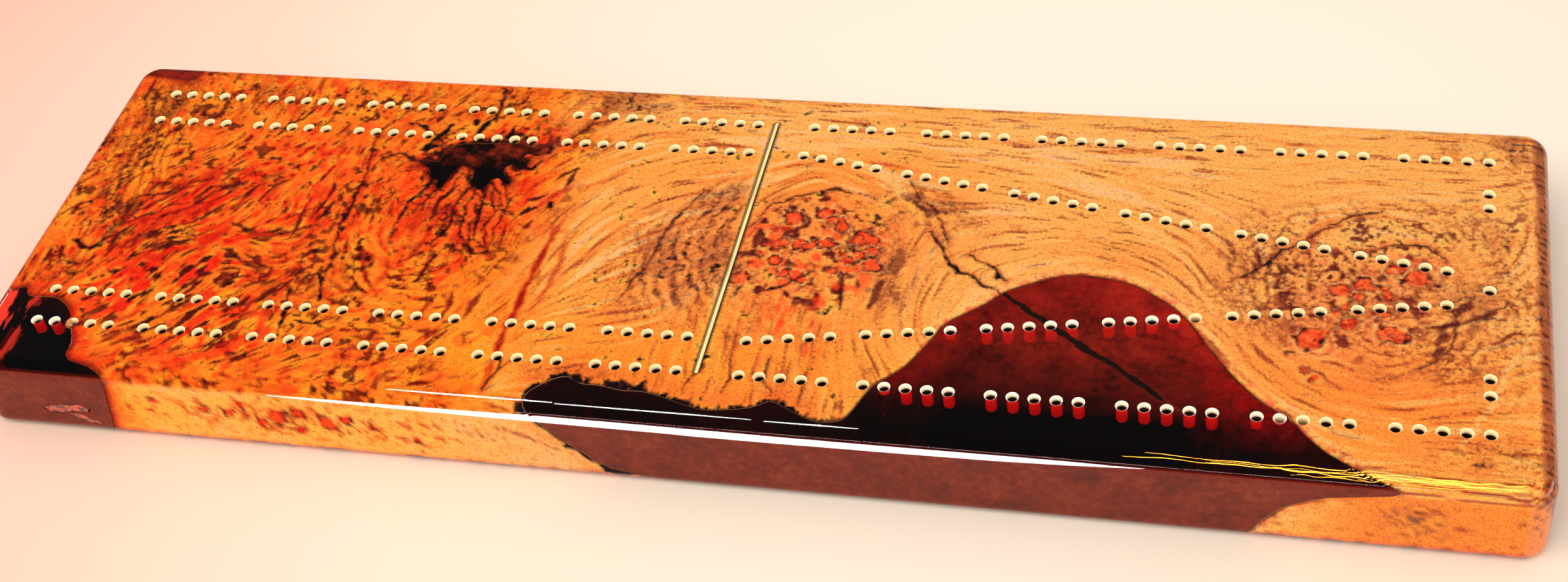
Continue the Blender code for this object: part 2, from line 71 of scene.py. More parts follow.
# ================================================================ sizes
LENGTH, WIDTH, THICK = 485.0, 147.0, 28.6
R_CORNER, R_TOP, R_BOTTOM = 8.0, 4.76, 3.2  # plan corners, top and bottom edges
FLAT_X, FLAT_Y = LENGTH / 2 - R_TOP, WIDTH / 2 - R_TOP  # half the flat top
R_FLAT = R_CORNER - R_TOP
CORE_X, CORE_Y = FLAT_X - R_FLAT, FLAT_Y - R_FLAT  # centres of the plan corners
ARC_TOP = R_TOP * QUARTER
ARC_WALL = THICK - R_TOP - R_BOTTOM
ARC_ALL = ARC_TOP + ARC_WALL + R_BOTTOM * QUARTER
SEAM = 0.16  # dark gap where wood and resin meet

PITCH, HOLE_DEPTH = 6.35, 10.5
HOLE_R, HOLE_RIM = 1.65, 1.92
HOLE_SEG = 20
GROUPS, GROUP_HOLES = 12, 5
GROUP_STEP, SKUNK_EXTRA, FIRST_X, MID_Y = 37.76, 7.0, -223.2, 2.3
OUTER_Y, INNER_Y = 55.1, 41.3  # rows either side of MID_Y
BEND_X0, BEND_X1, BEND_Y1, BEND_STEP = 9.5, 212.2, 7.0, 36.1  # converging rows
END_X, START_Y = 224.5, (40.9, 34.6)
SKUNK_X, SKUNK_W, SKUNK_D = -2.6, 1.4, 1.6
SKUNK_Y0, SKUNK_Y1 = MID_Y - OUTER_Y + 0.3, MID_Y + OUTER_Y + 0.3

# peg store in the underside: cavity, lid, lip opening and entry pocket
STORE_Y, STORE_X0, STORE_X1, STORE_W, STORE_TOP = -12.0, -148.0, -66.0, 21.0, 17.0
STORE_R = 5
LID_X0, LID_W, LID_Z0, LID_T = -150.0, 27.0, 2.2, 1.2
LID_GAP = 0.3
LIP_T, LIP_W, LIP_R = 1.9, 22.6, 4
POCKET_X1, POCKET_R = 30, 2
MEET_X = -64.0  # where the lip opening meets the wider pocket
GROOVE_HALF = LID_W / 2 + LID_GAP
GROOVE_TOP = LID_Z0 + LID_T + LID_GAP


def rows(text):
    """A table as text: commas part the rows, spaces the numbers."""
    return [tuple(float(v) for v in row.split()) for row in text.split(",")]


# ================================================================ outlines
# x y where each pour's edge crosses the top face and the underside
RIVER_TOP = rows("""
    -53 -74, -52.2 -68, -51 -65, -46 -60.5, -41.7 -58.8, -36.8 -61, -30.3 -61.2,
    -23.4 -62.4, -17 -62.2, -9.5 -63.9, -3.4 -65.9, 3.2 -67.2, 10.7 -66.3,
    17.3 -64.7, 21.9 -62, 26.1 -63.3, 31.4 -66, 36.5 -67.9, 40.4 -68, 44.7 -66.6,
    47.3 -62.4, 49.3 -57.2, 51.8 -52.2, 55.6 -48.4, 59.6 -43.9, 62.2 -39.1,
    65.4 -32.8, 68.2 -26.6, 74.3 -21, 79.2 -16.9, 82.4 -13.4, 85.3 -10.8,
    91.1 -7.6, 96.9 -4.7, 103.1 -2.8, 106.7 -2.5, 114.5 -3.3, 122.6 -5.4,
    129.1 -9.5, 134.9 -13.6, 139.9 -19.2, 144.3 -25.8, 149.4 -33.1, 155.1 -40.3,
    162.4 -47.6, 169.9 -52.4, 174.8 -58.2, 179.7 -63.1, 184.2 -66.3, 190 -69.6,
    198 -74""")
RIVER_LOW = rows("""
    -6 -74, 1 -69.4, 11 -69, 22 -67.4, 32 -68.8, 42 -69.2, 50 -67, 58 -61,
    66 -51, 74 -41, 84 -31, 95 -24, 107 -20, 118 -22, 128 -29, 137 -40,
    145 -53, 152 -64, 160 -74""")
# depth, share of the way from the top line to the low line
SHIFT_LEFT = rows("0 0, 5 0.126, 12.5 0.245, 16.5 0.35, 21 0.436, 23.8 0.53, 26 0.8, 28.6 1")
SHIFT_RIGHT = rows("""
    0 0, 3.3 -0.15, 5 -0.04, 7.5 0.38, 10 0.55, 13.7 0.72, 18 0.82, 22 0.89, 28.6 1""")
CORNER_TOP = rows("""
    -243 -41, -240 -41.2, -237.9 -41.3, -234.2 -39.2, -232.3 -41.9, -230 -43.1,
    -225.8 -43, -222 -42.9, -219.2 -43.8, -215.1 -46.8, -211.6 -51.5,
    -207.9 -58.5, -206.6 -61.7, -206.4 -66, -203.9 -68.7, -201 -69.5,
    -196.7 -70.4, -192 -72.4, -190 -74""")
CORNER_LOW = rows("""
    -243 -45, -238 -46, -233 -46, -228 -47, -222 -48, -218 -51, -213 -54,
    -208 -57, -203 -59, -198 -62, -196 -67, -196.5 -74""")
BACK_TOP = rows("""
    -243 68.5, -237.5 67.2, -231 66.5, -225 65.6, -220.5 64.9, -219 68, -217.5 74""")
BACK_LOW = rows("""
    -243 69.5, -238.5 68.6, -233 68, -228 67.6, -224 67.6, -222.5 69.5, -222 74""")
KNOT = rows("""
    -114.4 23.4, -115.4 26.6, -118.6 29.4, -119.6 31.6, -116.4 30.8, -113.6 31,
    -113.4 34.4, -113.8 37.4, -110.8 38.8, -107.5 40, -104.3 40.6, -99.8 40.8,
    -95.5 41.2, -91 41.8, -87.5 41.6, -83.5 40.4, -80.6 41, -77.6 40.2,
    -77.8 38.2, -80.6 37.2, -84.3 38, -86 35.6, -83.2 32.4, -83.4 30.2,
    -87.4 31.2, -89.8 30.2, -89.8 27.4, -86.8 23.6, -87.4 22.2, -90.4 24.4,
    -92.2 23.6, -93.6 21, -95.1 18.5, -97.4 20.2, -99.2 22.8, -99.6 26.2,
    -100.6 29, -103 30.2, -105.4 29.2, -106.6 27.4, -107.6 25, -108 21.4,
    -109.2 18.4, -110.8 18.8, -111.2 22""")
# x z of the burl chips on the front side
CHIP_UPPER = rows("""
    -218 10.4, -213 11.8, -205 12.6, -201.5 11.4, -202.5 9.6, -208 9.6,
    -212 8.2, -216.5 8.4""")
CHIP_LOWER = rows("-209.8 8, -206.5 8.4, -200.5 5.2, -199.5 3.9, -203.5 4.4, -207.5 6.2")
# depths at which a pour's buried face is sampled
LEVELS = [0, 0.12, 0.45, 1.0, 1.75, 2.6, 3.6, 4.76, 6.2, 7.8, 9.6, 11.5, 13.5,
          15.6, 17.8, 20, 22, 23.8, 25.4, 26.3, 27.2, 27.9, 28.35, THICK]


# ================================================================ curves
def resample(line, samples):
    run = np.concatenate([[0], np.cumsum(np.hypot(*np.diff(line, axis=0).T))])
    want = np.linspace(0, run[-1], samples)
    return np.stack([np.interp(want, run, line[:, axis]) for axis in (0, 1)], 1)


def spline(points, samples, closed=False):
    """Evenly spaced points on a Catmull-Rom curve through the given ones."""
    points = np.array(points, float)
    count = len(points)
    fine = []
    for i in range(count if closed else count - 1):
        around = [(i + k) % count if closed else min(max(i + k, 0), count - 1)
                  for k in (-1, 0, 1, 2)]
        before, start, end, after = points[around]
        for k in range(12):
            t = k / 12.0
            fine.append(0.5 * (2 * start + (end - before) * t
                               + (2 * before - 5 * start + 4 * end - after) * t * t
                               + (3 * start - before - 3 * end + after) * t ** 3))
    fine.append(points[0] if closed else points[-1])
    if closed:
        return resample(np.array(fine), samples + 1)[:-1]
    return resample(np.array(fine), samples)


def unit(vectors):
    return vectors / np.maximum(np.hypot(vectors[:, 0], vectors[:, 1]), 1e-9)[:, None]


def offset_line(line, distance):
    """Moves an open line to its left."""
    along = np.zeros_like(line)
    along[1:-1] = line[2:] - line[:-2]
    along[0], along[-1] = line[1] - line[0], line[-1] - line[-2]
    along = unit(along)
    return line + np.stack([-along[:, 1], along[:, 0]], 1) * distance


def grow_loop(loop, distance):
    """Moves a counter-clockwise loop outwards."""
    along = unit(np.roll(loop, -1, 0) - np.roll(loop, 1, 0))
    return loop + np.stack([along[:, 1], -along[:, 0]], 1) * distance


def ccw(loop):
    x, y = loop[:, 0], loop[:, 1]
    area = np.sum(x * np.roll(y, -1) - np.roll(x, -1) * y)
    return loop if area > 0 else loop[::-1]


def arc(x, y, radius, start, segments, sweep=QUARTER):
    angles = [start + sweep * i / segments for i in range(segments + 1)]
    return [(x + radius * math.cos(a), y + radius * math.sin(a)) for a in angles]


def circle(x, y, radius):
    angle = 2 * math.pi * (np.arange(HOLE_SEG) + 0.5) / HOLE_SEG
    return np.stack([x + radius * np.cos(angle), y + radius * np.sin(angle)], 1)


def smooth(value, low, high):
    """Smooth step from 0 at low to 1 at high."""
    t = np.clip((value - low) / (high - low), 0, 1)
    return t * t * (3 - 2 * t)


def in_polygon(points, polygon):
    polygon = np.asarray(polygon, float)
    result = np.zeros(len(points), bool)
    in_box = ((points >= polygon.min(0)) & (points <= polygon.max(0))).all(1)
    box = np.nonzero(in_box)[0]
    near = points[box]
    inside = np.zeros(len(near), bool)
    for (x0, y0), (x1, y1) in zip(polygon, np.roll(polygon, -1, 0)):
        if y0 == y1:
            continue
        inside ^= ((y0 > near[:, 1]) != (y1 > near[:, 1])) & \
            (near[:, 0] < (x1 - x0) * (near[:, 1] - y0) / (y1 - y0) + x0)
    result[box] = inside
    return result


# ============================================ the unrolled board surface
def arc_of_depth(depth):
    """Distance along the profile from the flat's edge down to a depth."""
    if depth <= R_TOP:
        return R_TOP * math.acos(max(-1.0, 1 - depth / R_TOP))
    if depth <= THICK - R_BOTTOM:
        return ARC_TOP + depth - R_TOP
    share = min(1.0, (depth - (THICK - R_BOTTOM)) / R_BOTTOM)
    return ARC_TOP + ARC_WALL + R_BOTTOM * math.asin(share)


def inset_of_depth(depth):
    """How far the profile stands in from the full outline."""
    if depth <= R_TOP:
        return R_TOP - math.sqrt(max(0.0, R_TOP ** 2 - (R_TOP - depth) ** 2))
    if depth <= THICK - R_BOTTOM:
        return 0.0
    below = depth - (THICK - R_BOTTOM)
    return R_BOTTOM - math.sqrt(max(0.0, R_BOTTOM ** 2 - below * below))


def nearest_core(points):
    """Nearest points of the rectangle between the corner centres."""
    return np.clip(points, (-CORE_X, -CORE_Y), (CORE_X, CORE_Y))


def roll(flat):
    """Unrolled points to 3-D points on the slab."""
    flat = np.asarray(flat, float)
    core = nearest_core(flat)
    off = flat - core
    dist = np.hypot(off[:, 0], off[:, 1])
    down = np.clip(dist - R_FLAT, 0, ARC_ALL)
    away = off / np.maximum(dist, 1e-9)[:, None]
    top = np.minimum(down / R_TOP, QUARTER)
    low = np.clip((down - ARC_TOP - ARC_WALL) / R_BOTTOM, 0, QUARTER)
    out = R_TOP * np.sin(top) - R_BOTTOM * (1 - np.cos(low))
    z = THICK - R_TOP * (1 - np.cos(top))
    z = z - np.clip(down - ARC_TOP, 0, ARC_WALL) - R_BOTTOM * np.sin(low)
    on_flat = dist <= R_FLAT
    xy = np.where(on_flat[:, None], flat, core + away * (R_FLAT + out)[:, None])
    return np.column_stack([xy, np.where(on_flat, THICK, z)])


def unroll(point, depth):
    """A point on the slab's side at a depth, in the unrolled plane."""
    core = nearest_core(point)
    off = point - core
    return core + off / max(np.hypot(*off), 1e-9) * (R_FLAT + arc_of_depth(depth))


def side_distance(line, depth):
    """Signed distance to the slab's outline at a depth, negative inside."""
    return np.hypot(*(line - nearest_core(line)).T) - (R_CORNER - inset_of_depth(depth))


def clip_line(line, depth, samples):
    """The part of a line within the slab's outline at a depth."""
    dist = side_distance(line, depth)
    inside = np.nonzero(dist < 0)[0]
    i, j = inside[0], inside[-1]
    points = [line[k] for k in range(i, j + 1)]
    if i > 0:
        share = dist[i - 1] / (dist[i - 1] - dist[i])
        points.insert(0, line[i - 1] + share * (line[i] - line[i - 1]))
    if j < len(line) - 1:
        share = dist[j] / (dist[j] - dist[j + 1])
        points.append(line[j] + share * (line[j + 1] - line[j]))
    return resample(np.array(points), samples)


# ================================================================ holes
def hole_centres():
    """Outer rows with inner ones on the left half, converging rows, end holes."""
    holes = []
    for group in range(GROUPS):
        on_left = group < GROUPS // 2
        for k in range(GROUP_HOLES):
            x = FIRST_X + group * GROUP_STEP + k * PITCH + (0 if on_left else SKUNK_EXTRA)
            for side in (1, -1):
                holes.append((x, MID_Y + side * OUTER_Y))
                if on_left:
                    holes.append((x, MID_Y + side * INNER_Y))
    run_x, run_y = BEND_X1 - BEND_X0, INNER_Y - BEND_Y1
    length = math.hypot(run_x, run_y)
    for group in range(GROUPS // 2):
        for k in range(GROUP_HOLES):
            share = (group * BEND_STEP + k * PITCH) / length
            for side in (1, -1):
                holes.append((BEND_X0 + run_x * share,
                              MID_Y + side * (INNER_Y - run_y * share)))
    holes += [(END_X, MID_Y + side * y) for y in START_Y for side in (1, -1)]
    holes.append((END_X, MID_Y))
    return np.array(holes)


HOLES = hole_centres()


def push_off_holes(points, clear):
    """Moves points, in place, out of a circle round every hole."""
    for centre in HOLES:
        away = points - centre
        dist = np.hypot(away[:, 0], away[:, 1])
        near = dist < clear
        points[near] = centre + away[near] / np.maximum(dist[near], 1e-6)[:, None] * clear


# ============================================================ point pool
# Every piece takes its vertices from one pool.
POOL = []  # 3-D points
POOL_UV = []  # their places in the unrolled plane


def add_points(xyz, flat):
    start = len(POOL)
    POOL.extend(np.asarray(xyz, float).tolist())
    POOL_UV.extend(np.asarray(flat, float).tolist())
    return list(range(start, start + len(xyz)))


def add_level(loop, z):
    return add_points([(x, y, z) for x, y in loop], loop)


def add_rolled(flat):
    return add_points(roll(flat), flat)


def pool_xy(ids):
    return np.array([POOL[i][:2] for i in ids])


def pool_uv(ids):
    return np.array([POOL_UV[i] for i in ids])


# ================================================================ pours
def river_line(depth, grow=0.0):
    samples = 900
    top, low = spline(RIVER_TOP, samples), spline(RIVER_LOW, samples)
    to_right = smooth(np.linspace(0, 1, samples), 0, 1)
    left, right = (float(np.interp(depth, *np.array(table).T))
                   for table in (SHIFT_LEFT, SHIFT_RIGHT))
    share = left * (1 - to_right) + right * to_right
    return offset_line(top + share[:, None] * (low - top), grow)


def straight_line(top, low):
    def line(depth, grow=0.0):
        start, end = spline(top, 400), spline(low, 400)
        return offset_line(start + (end - start) * depth / THICK, grow)
    return line


class Pour:
    """A resin pour. wood_side is 1 where the wood lies left of its line. The
    tails close its outline outside the slab: unrolled, and on the underside."""

    def __init__(self, name, line, samples, wood_side, tail, low_tail):
        self.name, self.line, self.samples = name, line, samples
        self.wood_side, self.tail, self.low_tail = wood_side, tail, low_tail
        self.wood_grid, self.wood_edge = self.face(SEAM / 2 * wood_side)
        self.resin_grid, self.resin_edge = self.face(-SEAM / 2 * wood_side)

    def face(self, grow):
        """The buried face as rows of points, and its edge on the skin."""
        grid = []
        for k, depth in enumerate(LEVELS):
            row = clip_line(self.line(depth, grow), depth, self.samples)
            if k == 0:
                row[1:-1] = offset_line(self.clear_top(), grow)[1:-1]
            lowest = -(WIDTH / 2 - inset_of_depth(depth)) + 0.4
            row[1:-1, 1] = np.maximum(row[1:-1, 1], lowest)
            ids = add_level(row, THICK - depth)
            for end in (0, -1):
                POOL_UV[ids[end]] = unroll(row[end], depth).tolist()
            grid.append(ids)
        left = [row[0] for row in grid[:0:-1]]
        right = [row[-1] for row in grid[1:]]
        return grid, left + grid[0] + right

    def clear_top(self):
        """The line on the top face, kept clear of the hole rims."""
        row = clip_line(self.line(0, 0.0), 0, self.samples)
        for turn in range(6):
            push_off_holes(row[1:-1], 2.56)
            if turn < 5:
                row = resample(row, len(row))
        return row


POURS = [
    Pour("resin_river", river_line, samples=300, wood_side=1,
         tail=None, low_tail=[(160, -100), (-6, -100)]),
    Pour("resin_corner_front", straight_line(CORNER_TOP, CORNER_LOW), samples=90, wood_side=1,
         tail=[(-190, -150), (-330, -150), (-330, -40)],
         low_tail=[(-196, -100), (-270, -100), (-270, -45)]),
    Pour("resin_corner_back", straight_line(BACK_TOP, BACK_LOW), samples=36, wood_side=-1,
         tail=[(-210, 150), (-330, 150), (-330, 70)],
         low_tail=[(-222, 100), (-270, 100), (-270, 69)]),
]
RIVER = POURS[0]
RIVER.tail = [(POOL_UV[RIVER.wood_edge[end]][0], -140) for end in (-1, 0)]


# ================================================== rims, slot and pockets
def slot_loop(half):
    """The skunk line's slot, counter-clockwise, with round ends."""
    count = int((SKUNK_Y1 - SKUNK_Y0) / 1.6)
    run = SKUNK_Y1 - SKUNK_Y0
    points = arc(SKUNK_X, SKUNK_Y1, half, 0, 8, math.pi)
    points += [(SKUNK_X - half, SKUNK_Y1 - run * i / count) for i in range(1, count)]
    points += arc(SKUNK_X, SKUNK_Y0, half, math.pi, 8, math.pi)
    points += [(SKUNK_X + half, SKUNK_Y0 + run * i / count) for i in range(1, count)]
    return np.array(points)


def chip_loop(outline):
    points = np.array([(x, -(FLAT_Y + arc_of_depth(THICK - z))) for x, z in outline])
    return grow_loop(ccw(spline(points, 44, closed=True)), 0.12)


rims = [add_rolled(circle(x, y, HOLE_RIM)) for x, y in HOLES]
knot_loop = ccw(spline(KNOT, 200, closed=True))
push_off_holes(knot_loop, 2.5)
knot_void = grow_loop(knot_loop, 0.10)
knot_wood = add_rolled(knot_void)
knot_resin = add_rolled(knot_loop)
skunk_loop = slot_loop(SKUNK_W / 2 + 0.14)
skunk_rim = add_rolled(skunk_loop)
chip_rims = [add_rolled(chip_loop(outline)) for outline in (CHIP_UPPER, CHIP_LOWER)]
skin_loops = rims + [knot_wood, knot_resin, skunk_rim] + chip_rims

# ================================================================ skin points
STEP = 0.8  # spacing on the top face
OUTLINE_STEP = 1.2  # spacing round the sides
RINGS = [*np.linspace(0, ARC_TOP, 10),
         *np.linspace(ARC_TOP, ARC_TOP + ARC_WALL, 15)[1:],
         *np.linspace(ARC_TOP + ARC_WALL, ARC_ALL, 6)[1:]]

# a raster that keeps loose points away from fixed lines
BLOCK_CELL, BLOCK_X, BLOCK_Y, BLOCK_RADIUS = 0.2, 290.0, 110.0, 0.5
blocked = np.zeros((int(2 * BLOCK_Y / BLOCK_CELL), int(2 * BLOCK_X / BLOCK_CELL)), bool)


def block_cells(points, dx=0, dy=0):
    ix = ((points[:, 0] + BLOCK_X) / BLOCK_CELL).astype(int) + dx
    iy = ((points[:, 1] + BLOCK_Y) / BLOCK_CELL).astype(int) + dy
    return np.clip(iy, 0, blocked.shape[0] - 1), np.clip(ix, 0, blocked.shape[1] - 1)


def block(ids):
    points = pool_uv(ids)
    count = int(np.hypot(*np.diff(points, axis=0).T).sum() / 0.15) + 2
    points = resample(points, count)
    reach = math.ceil(BLOCK_RADIUS / BLOCK_CELL)
    for dy in range(-reach, reach + 1):
        for dx in range(-reach, reach + 1):
            if math.hypot(dx, dy) * BLOCK_CELL <= BLOCK_RADIUS:
                blocked[block_cells(points, dx, dy)] = True


def free(points):
    return points[~blocked[block_cells(points)]]


def outline_at(distance):
    """Rounded rectangle at a distance outside the flat, unrolled."""
    radius = R_FLAT + distance
    corners = [(CORE_X, -CORE_Y), (CORE_X, CORE_Y), (-CORE_X, CORE_Y), (-CORE_X, -CORE_Y)]
    points = []
    for k in range(4):
        (x0, y0), (x1, y1) = corners[k], corners[(k + 1) % 4]
        count = int(2 * (CORE_X if k % 2 else CORE_Y) / OUTLINE_STEP)
        angle = k * math.pi / 2
        out_x, out_y = math.cos(angle) * radius, math.sin(angle) * radius
        points += [(x0 + (x1 - x0) * i / count + out_x, y0 + (y1 - y0) * i / count + out_y)
                   for i in range(count)]
        points += arc(x1, y1, radius, angle, 12)[:-1]
    return np.array(points)


def perimeter_place(point):
    """Sorting key counter-clockwise round the slab, ten to a side and corner."""
    x, y = nearest_core(point)
    turn = math.atan2(point[1] - y, point[0] - x) % (2 * math.pi) / QUARTER
    base = math.floor(turn + 1e-9)
    side = int(base) % 4
    if turn - base > 1e-6:
        return side * 10 + 5 + (turn - base) * 5
    share = ((y + CORE_Y) / (2 * CORE_Y), (CORE_X - x) / (2 * CORE_X),
             (CORE_Y - y) / (2 * CORE_Y), (x + CORE_X) / (2 * CORE_X))[side]
    return side * 10 + share * 5


def outermost_loop():
    """The lowest outline of the skin, with the pours' ends threaded in."""
    ids = add_rolled(free(outline_at(ARC_ALL)))
    ids += [grid[-1][end] for pour in POURS
            for grid in (pour.wood_grid, pour.resin_grid) for end in (0, -1)]
    return sorted(ids, key=lambda i: perimeter_place(POOL_UV[i]))


def top_grid():
    """Loose points on the flat: a staggered grid outside the holes."""
    count = int((2 * FLAT_Y - 0.8) / (STEP * 0.866))
    lines = []
    for j in range(count + 1):
        y = -FLAT_Y + 0.45 + (2 * FLAT_Y - 0.9) * j / count
        x = np.arange(-FLAT_X + 0.5 + (STEP / 2 if j % 2 else 0), FLAT_X - 0.4, STEP)
        lines.append(np.stack([x, np.full(len(x), y)], 1))
    points = np.vstack(lines)
    far_x, far_y = np.abs(points[:, 0]), np.abs(points[:, 1])
    inside = np.hypot(*(points - nearest_core(points)).T) < R_FLAT - 0.35
    inside |= (far_x < CORE_X) & (far_y < FLAT_Y - 0.35)
    inside |= (far_y < CORE_Y) & (far_x < FLAT_X - 0.35)
    points = free(points[inside])
    keep = np.ones(len(points), bool)
    for x, y in HOLES:
        keep &= (points[:, 0] - x) ** 2 + (points[:, 1] - y) ** 2 >= 5.3
    return points[keep]


pour_edges = [edge for pour in POURS for edge in (pour.wood_edge, pour.resin_edge)]
for line in pour_edges + [loop + loop[:1] for loop in skin_loops]:
    block(line)
outer_loop = outermost_loop()
for ring in RINGS[:-1]:
    add_rolled(free(outline_at(ring)))
add_rolled(top_grid())


# ============================================================ triangulate
def loop_edges(loop):
    return list(zip(loop, loop[1:] + loop[:1]))


def delaunay(points, edges):
    """Constrained triangulation; new points follow the given ones."""
    result = delaunay_2d_cdt([Vector(p) for p in points], edges, [], 0, 1e-5, False)
    found = np.array([tuple(v) for v in result[0]])
    if len(found) < len(points) or np.abs(found[:len(points)] - points).max() > 1e-3:
        raise RuntimeError("triangulation merged or reordered points")
    return found, np.array(result[2], int)


def turn_up(points, tris):
    """Makes triangles counter-clockwise, in place."""
    start = points[tris[:, 0]]
    area = np.cross(points[tris[:, 1]] - start, points[tris[:, 2]] - start)
    tris[area < 0] = tris[area < 0][:, ::-1]


def triangulate_skin():
    buried = {i for pour in POURS for grid in (pour.wood_grid, pour.resin_grid)
              for row in grid[1:] for i in row[1:-1]}
    used = [i for i in range(len(POOL)) if i not in buried]
    local = {i: k for k, i in enumerate(used)}
    edges = [pair for line in pour_edges for pair in zip(line, line[1:])]
    for loop in skin_loops + [outer_loop]:
        edges += loop_edges(loop)
    found, tris = delaunay(pool_uv(used), [(local[a], local[b]) for a, b in edges])
    tris = np.array(used + add_rolled(found[len(used):]))[tris]
    turn_up(np.array(POOL_UV), tris)
    return tris


def planar(loops, lines, z, spacing=0):
    """Triangles, and their centres, of a level face between pool loops; a
    spacing fills the first loop with loose points."""
    ids = sorted({i for line in loops + lines for i in line})
    local = {i: k for k, i in enumerate(ids)}
    edges = [pair for loop in loops for pair in loop_edges(loop)]
    edges += [pair for line in lines for pair in zip(line, line[1:])]
    points = pool_xy(ids)
    if spacing:
        low, high = points.min(0) + spacing / 2, points.max(0)
        x, y = np.meshgrid(np.arange(low[0], high[0], spacing),
                           np.arange(low[1], high[1], spacing))
        x = x + (np.arange(x.shape[0]) % 2)[:, None] * spacing / 2
        loose = np.stack([x.ravel(), y.ravel()], 1)
        loose = loose[in_polygon(loose, pool_xy(loops[0]))]
        clear = np.ones(len(loose), bool)
        for s in range(0, len(loose), 400):
            dist = np.abs(loose[s:s + 400, None] - points[None]).sum(2)
            clear[s:s + 400] = dist.min(1) > spacing * 0.4
        loose = loose[clear]
        ids += add_level(loose, z)
        points = np.vstack([points, loose])
    found, tris = delaunay(points, [(local[a], local[b]) for a, b in edges])
    turn_up(found, tris)
    return np.array(ids)[tris], found[tris].mean(1)


def level_face(loop, z, hole=None):
    """Triangles of a level face within a loop and outside a hole."""
    tris, centres = planar([loop] + ([hole] if hole else []), [], z)
    inside = in_polygon(centres, pool_xy(loop))
    if hole:
        inside &= ~in_polygon(centres, pool_xy(hole))
    return tris[inside]


# regions of the skin; the pours are 1, 2 and 3
OPEN, WOOD_REGION, KNOT_REGION = -1, 0, 10


def skin_regions():
    """The region of every skin triangle, and the one each hole lies in."""
    centres = np.array(POOL_UV)[skin].mean(1)
    region = np.full(len(skin), WOOD_REGION)
    for n, pour in enumerate(POURS):
        in_wood = in_polygon(centres, np.vstack([pool_uv(pour.wood_edge), pour.tail]))
        in_resin = in_polygon(centres, np.vstack([pool_uv(pour.resin_edge), pour.tail]))
        region[in_wood & ~in_resin] = OPEN
        region[in_resin] = n + 1
    in_void = in_polygon(centres, pool_uv(knot_wood))
    in_fill = in_polygon(centres, pool_uv(knot_resin))
    region[in_void] = OPEN
    region[in_fill] = KNOT_REGION
    for loop in [skunk_rim] + chip_rims:
        region[in_polygon(centres, pool_uv(loop))] = OPEN
    hole_regions = []
    for x, y in HOLES:
        hole = np.nonzero(np.hypot(*(centres - (x, y)).T) < HOLE_RIM * 0.985)[0]
        kind = np.bincount(np.maximum(region[hole], 0)).argmax() if len(hole) else 0
        hole_regions.append(int(kind))
        region[hole] = OPEN
    return region, hole_regions


def store_opening():
    """Outline of the peg store on the underside, counter-clockwise from above."""
    lip_x, lip_y = STORE_X0 + LIP_R, LIP_W / 2 - LIP_R
    end_x, end_y = POCKET_X1 - POCKET_R, GROOVE_HALF - POCKET_R
    points = arc(lip_x, STORE_Y + lip_y, LIP_R, QUARTER, 6)
    points += arc(lip_x, STORE_Y - lip_y, LIP_R, math.pi, 6)
    points += [(MEET_X, STORE_Y - LIP_W / 2), (MEET_X, STORE_Y - GROOVE_HALF)]
    points += arc(end_x, STORE_Y - end_y, POCKET_R, -QUARTER, 6)
    points += arc(end_x, STORE_Y + end_y, POCKET_R, 0, 6)
    points += [(MEET_X, STORE_Y + GROOVE_HALF), (MEET_X, STORE_Y + LIP_W / 2)]
    return np.array(points)


def underside():
    """Triangles of the underside and their regions."""
    lines = [grid[-1] for pour in POURS for grid in (pour.wood_grid, pour.resin_grid)]
    tris, centres = planar([outer_loop, opening_rim], lines, 0.0, 3.0)
    solid = in_polygon(centres, pool_xy(outer_loop)) & ~in_polygon(centres, opening)
    region = np.where(solid, WOOD_REGION, OPEN)
    for n, pour in enumerate(POURS):
        in_wood, in_resin = (
            in_polygon(centres, np.vstack([pool_xy(grid[-1]), pour.low_tail]))
            for grid in (pour.wood_grid, pour.resin_grid))
        region[solid & in_wood & ~in_resin] = OPEN
        region[solid & in_resin] = n + 1
    return tris, region


skin = triangulate_skin()
skin_region, hole_regions = skin_regions()
opening = store_opening()
opening_rim = add_level(opening, 0.0)
low_skin, low_region = underside()

# ============================================================ pieces
# material slots of the slab and of a pour
WOOD_GLOSS, WOOD_BORE, WOOD_BARE, WOOD_STORE = range(4)
RESIN_SKIN, RESIN_BOND, RESIN_BORE, RESIN_BASE = range(4)


class Piece:
    def __init__(self, name):
        self.name, self.tris, self.slots = name, [], []

    def add(self, tris, slot=0, flip=False):
        tris = np.asarray(tris, int).reshape(-1, 3)
        self.tris.append(tris[:, ::-1] if flip else tris)
        self.slots.append(np.full(len(tris), slot))

    def strip(self, upper, lower, slot=0, closed=True, flip=False):
        """Wall between two equal rings of pool points."""
        upper, lower = np.array(upper), np.array(lower)
        i = np.arange(len(upper) if closed else len(upper) - 1)
        j = (i + 1) % len(upper)
        self.add(np.concatenate([np.stack([upper[i], upper[j], lower[j]], 1),
                                 np.stack([upper[i], lower[j], lower[i]], 1)]), slot, flip)

    def grid(self, lines, slot=0, closed=False, flip=False):
        for upper, lower in zip(lines, lines[1:]):
            self.strip(upper, lower, slot, closed, flip)

    def pit(self, rings, tip, slot=0, flip=False):
        """Walls down a stack of rings, closed to a tip."""
        self.grid(rings, slot, closed=True, flip=flip)
        last = rings[-1]
        self.add([(a, b, tip) for a, b in zip(last, last[1:] + last[:1])], slot, flip)


def sheathe():
    """Top, sides, underside and the buried faces of the pours."""
    wood.add(skin[skin_region == WOOD_REGION])
    wood.add(low_skin[low_region == WOOD_REGION], flip=True)
    for n, (piece, pour) in enumerate(zip(resins, POURS)):
        piece.add(skin[skin_region == n + 1])
        piece.add(low_skin[low_region == n + 1], RESIN_BASE, flip=True)
        wood_left = pour.wood_side > 0
        piece.grid(pour.resin_grid, RESIN_BOND, flip=not wood_left)
        wood.grid(pour.wood_grid, WOOD_BARE, flip=wood_left)


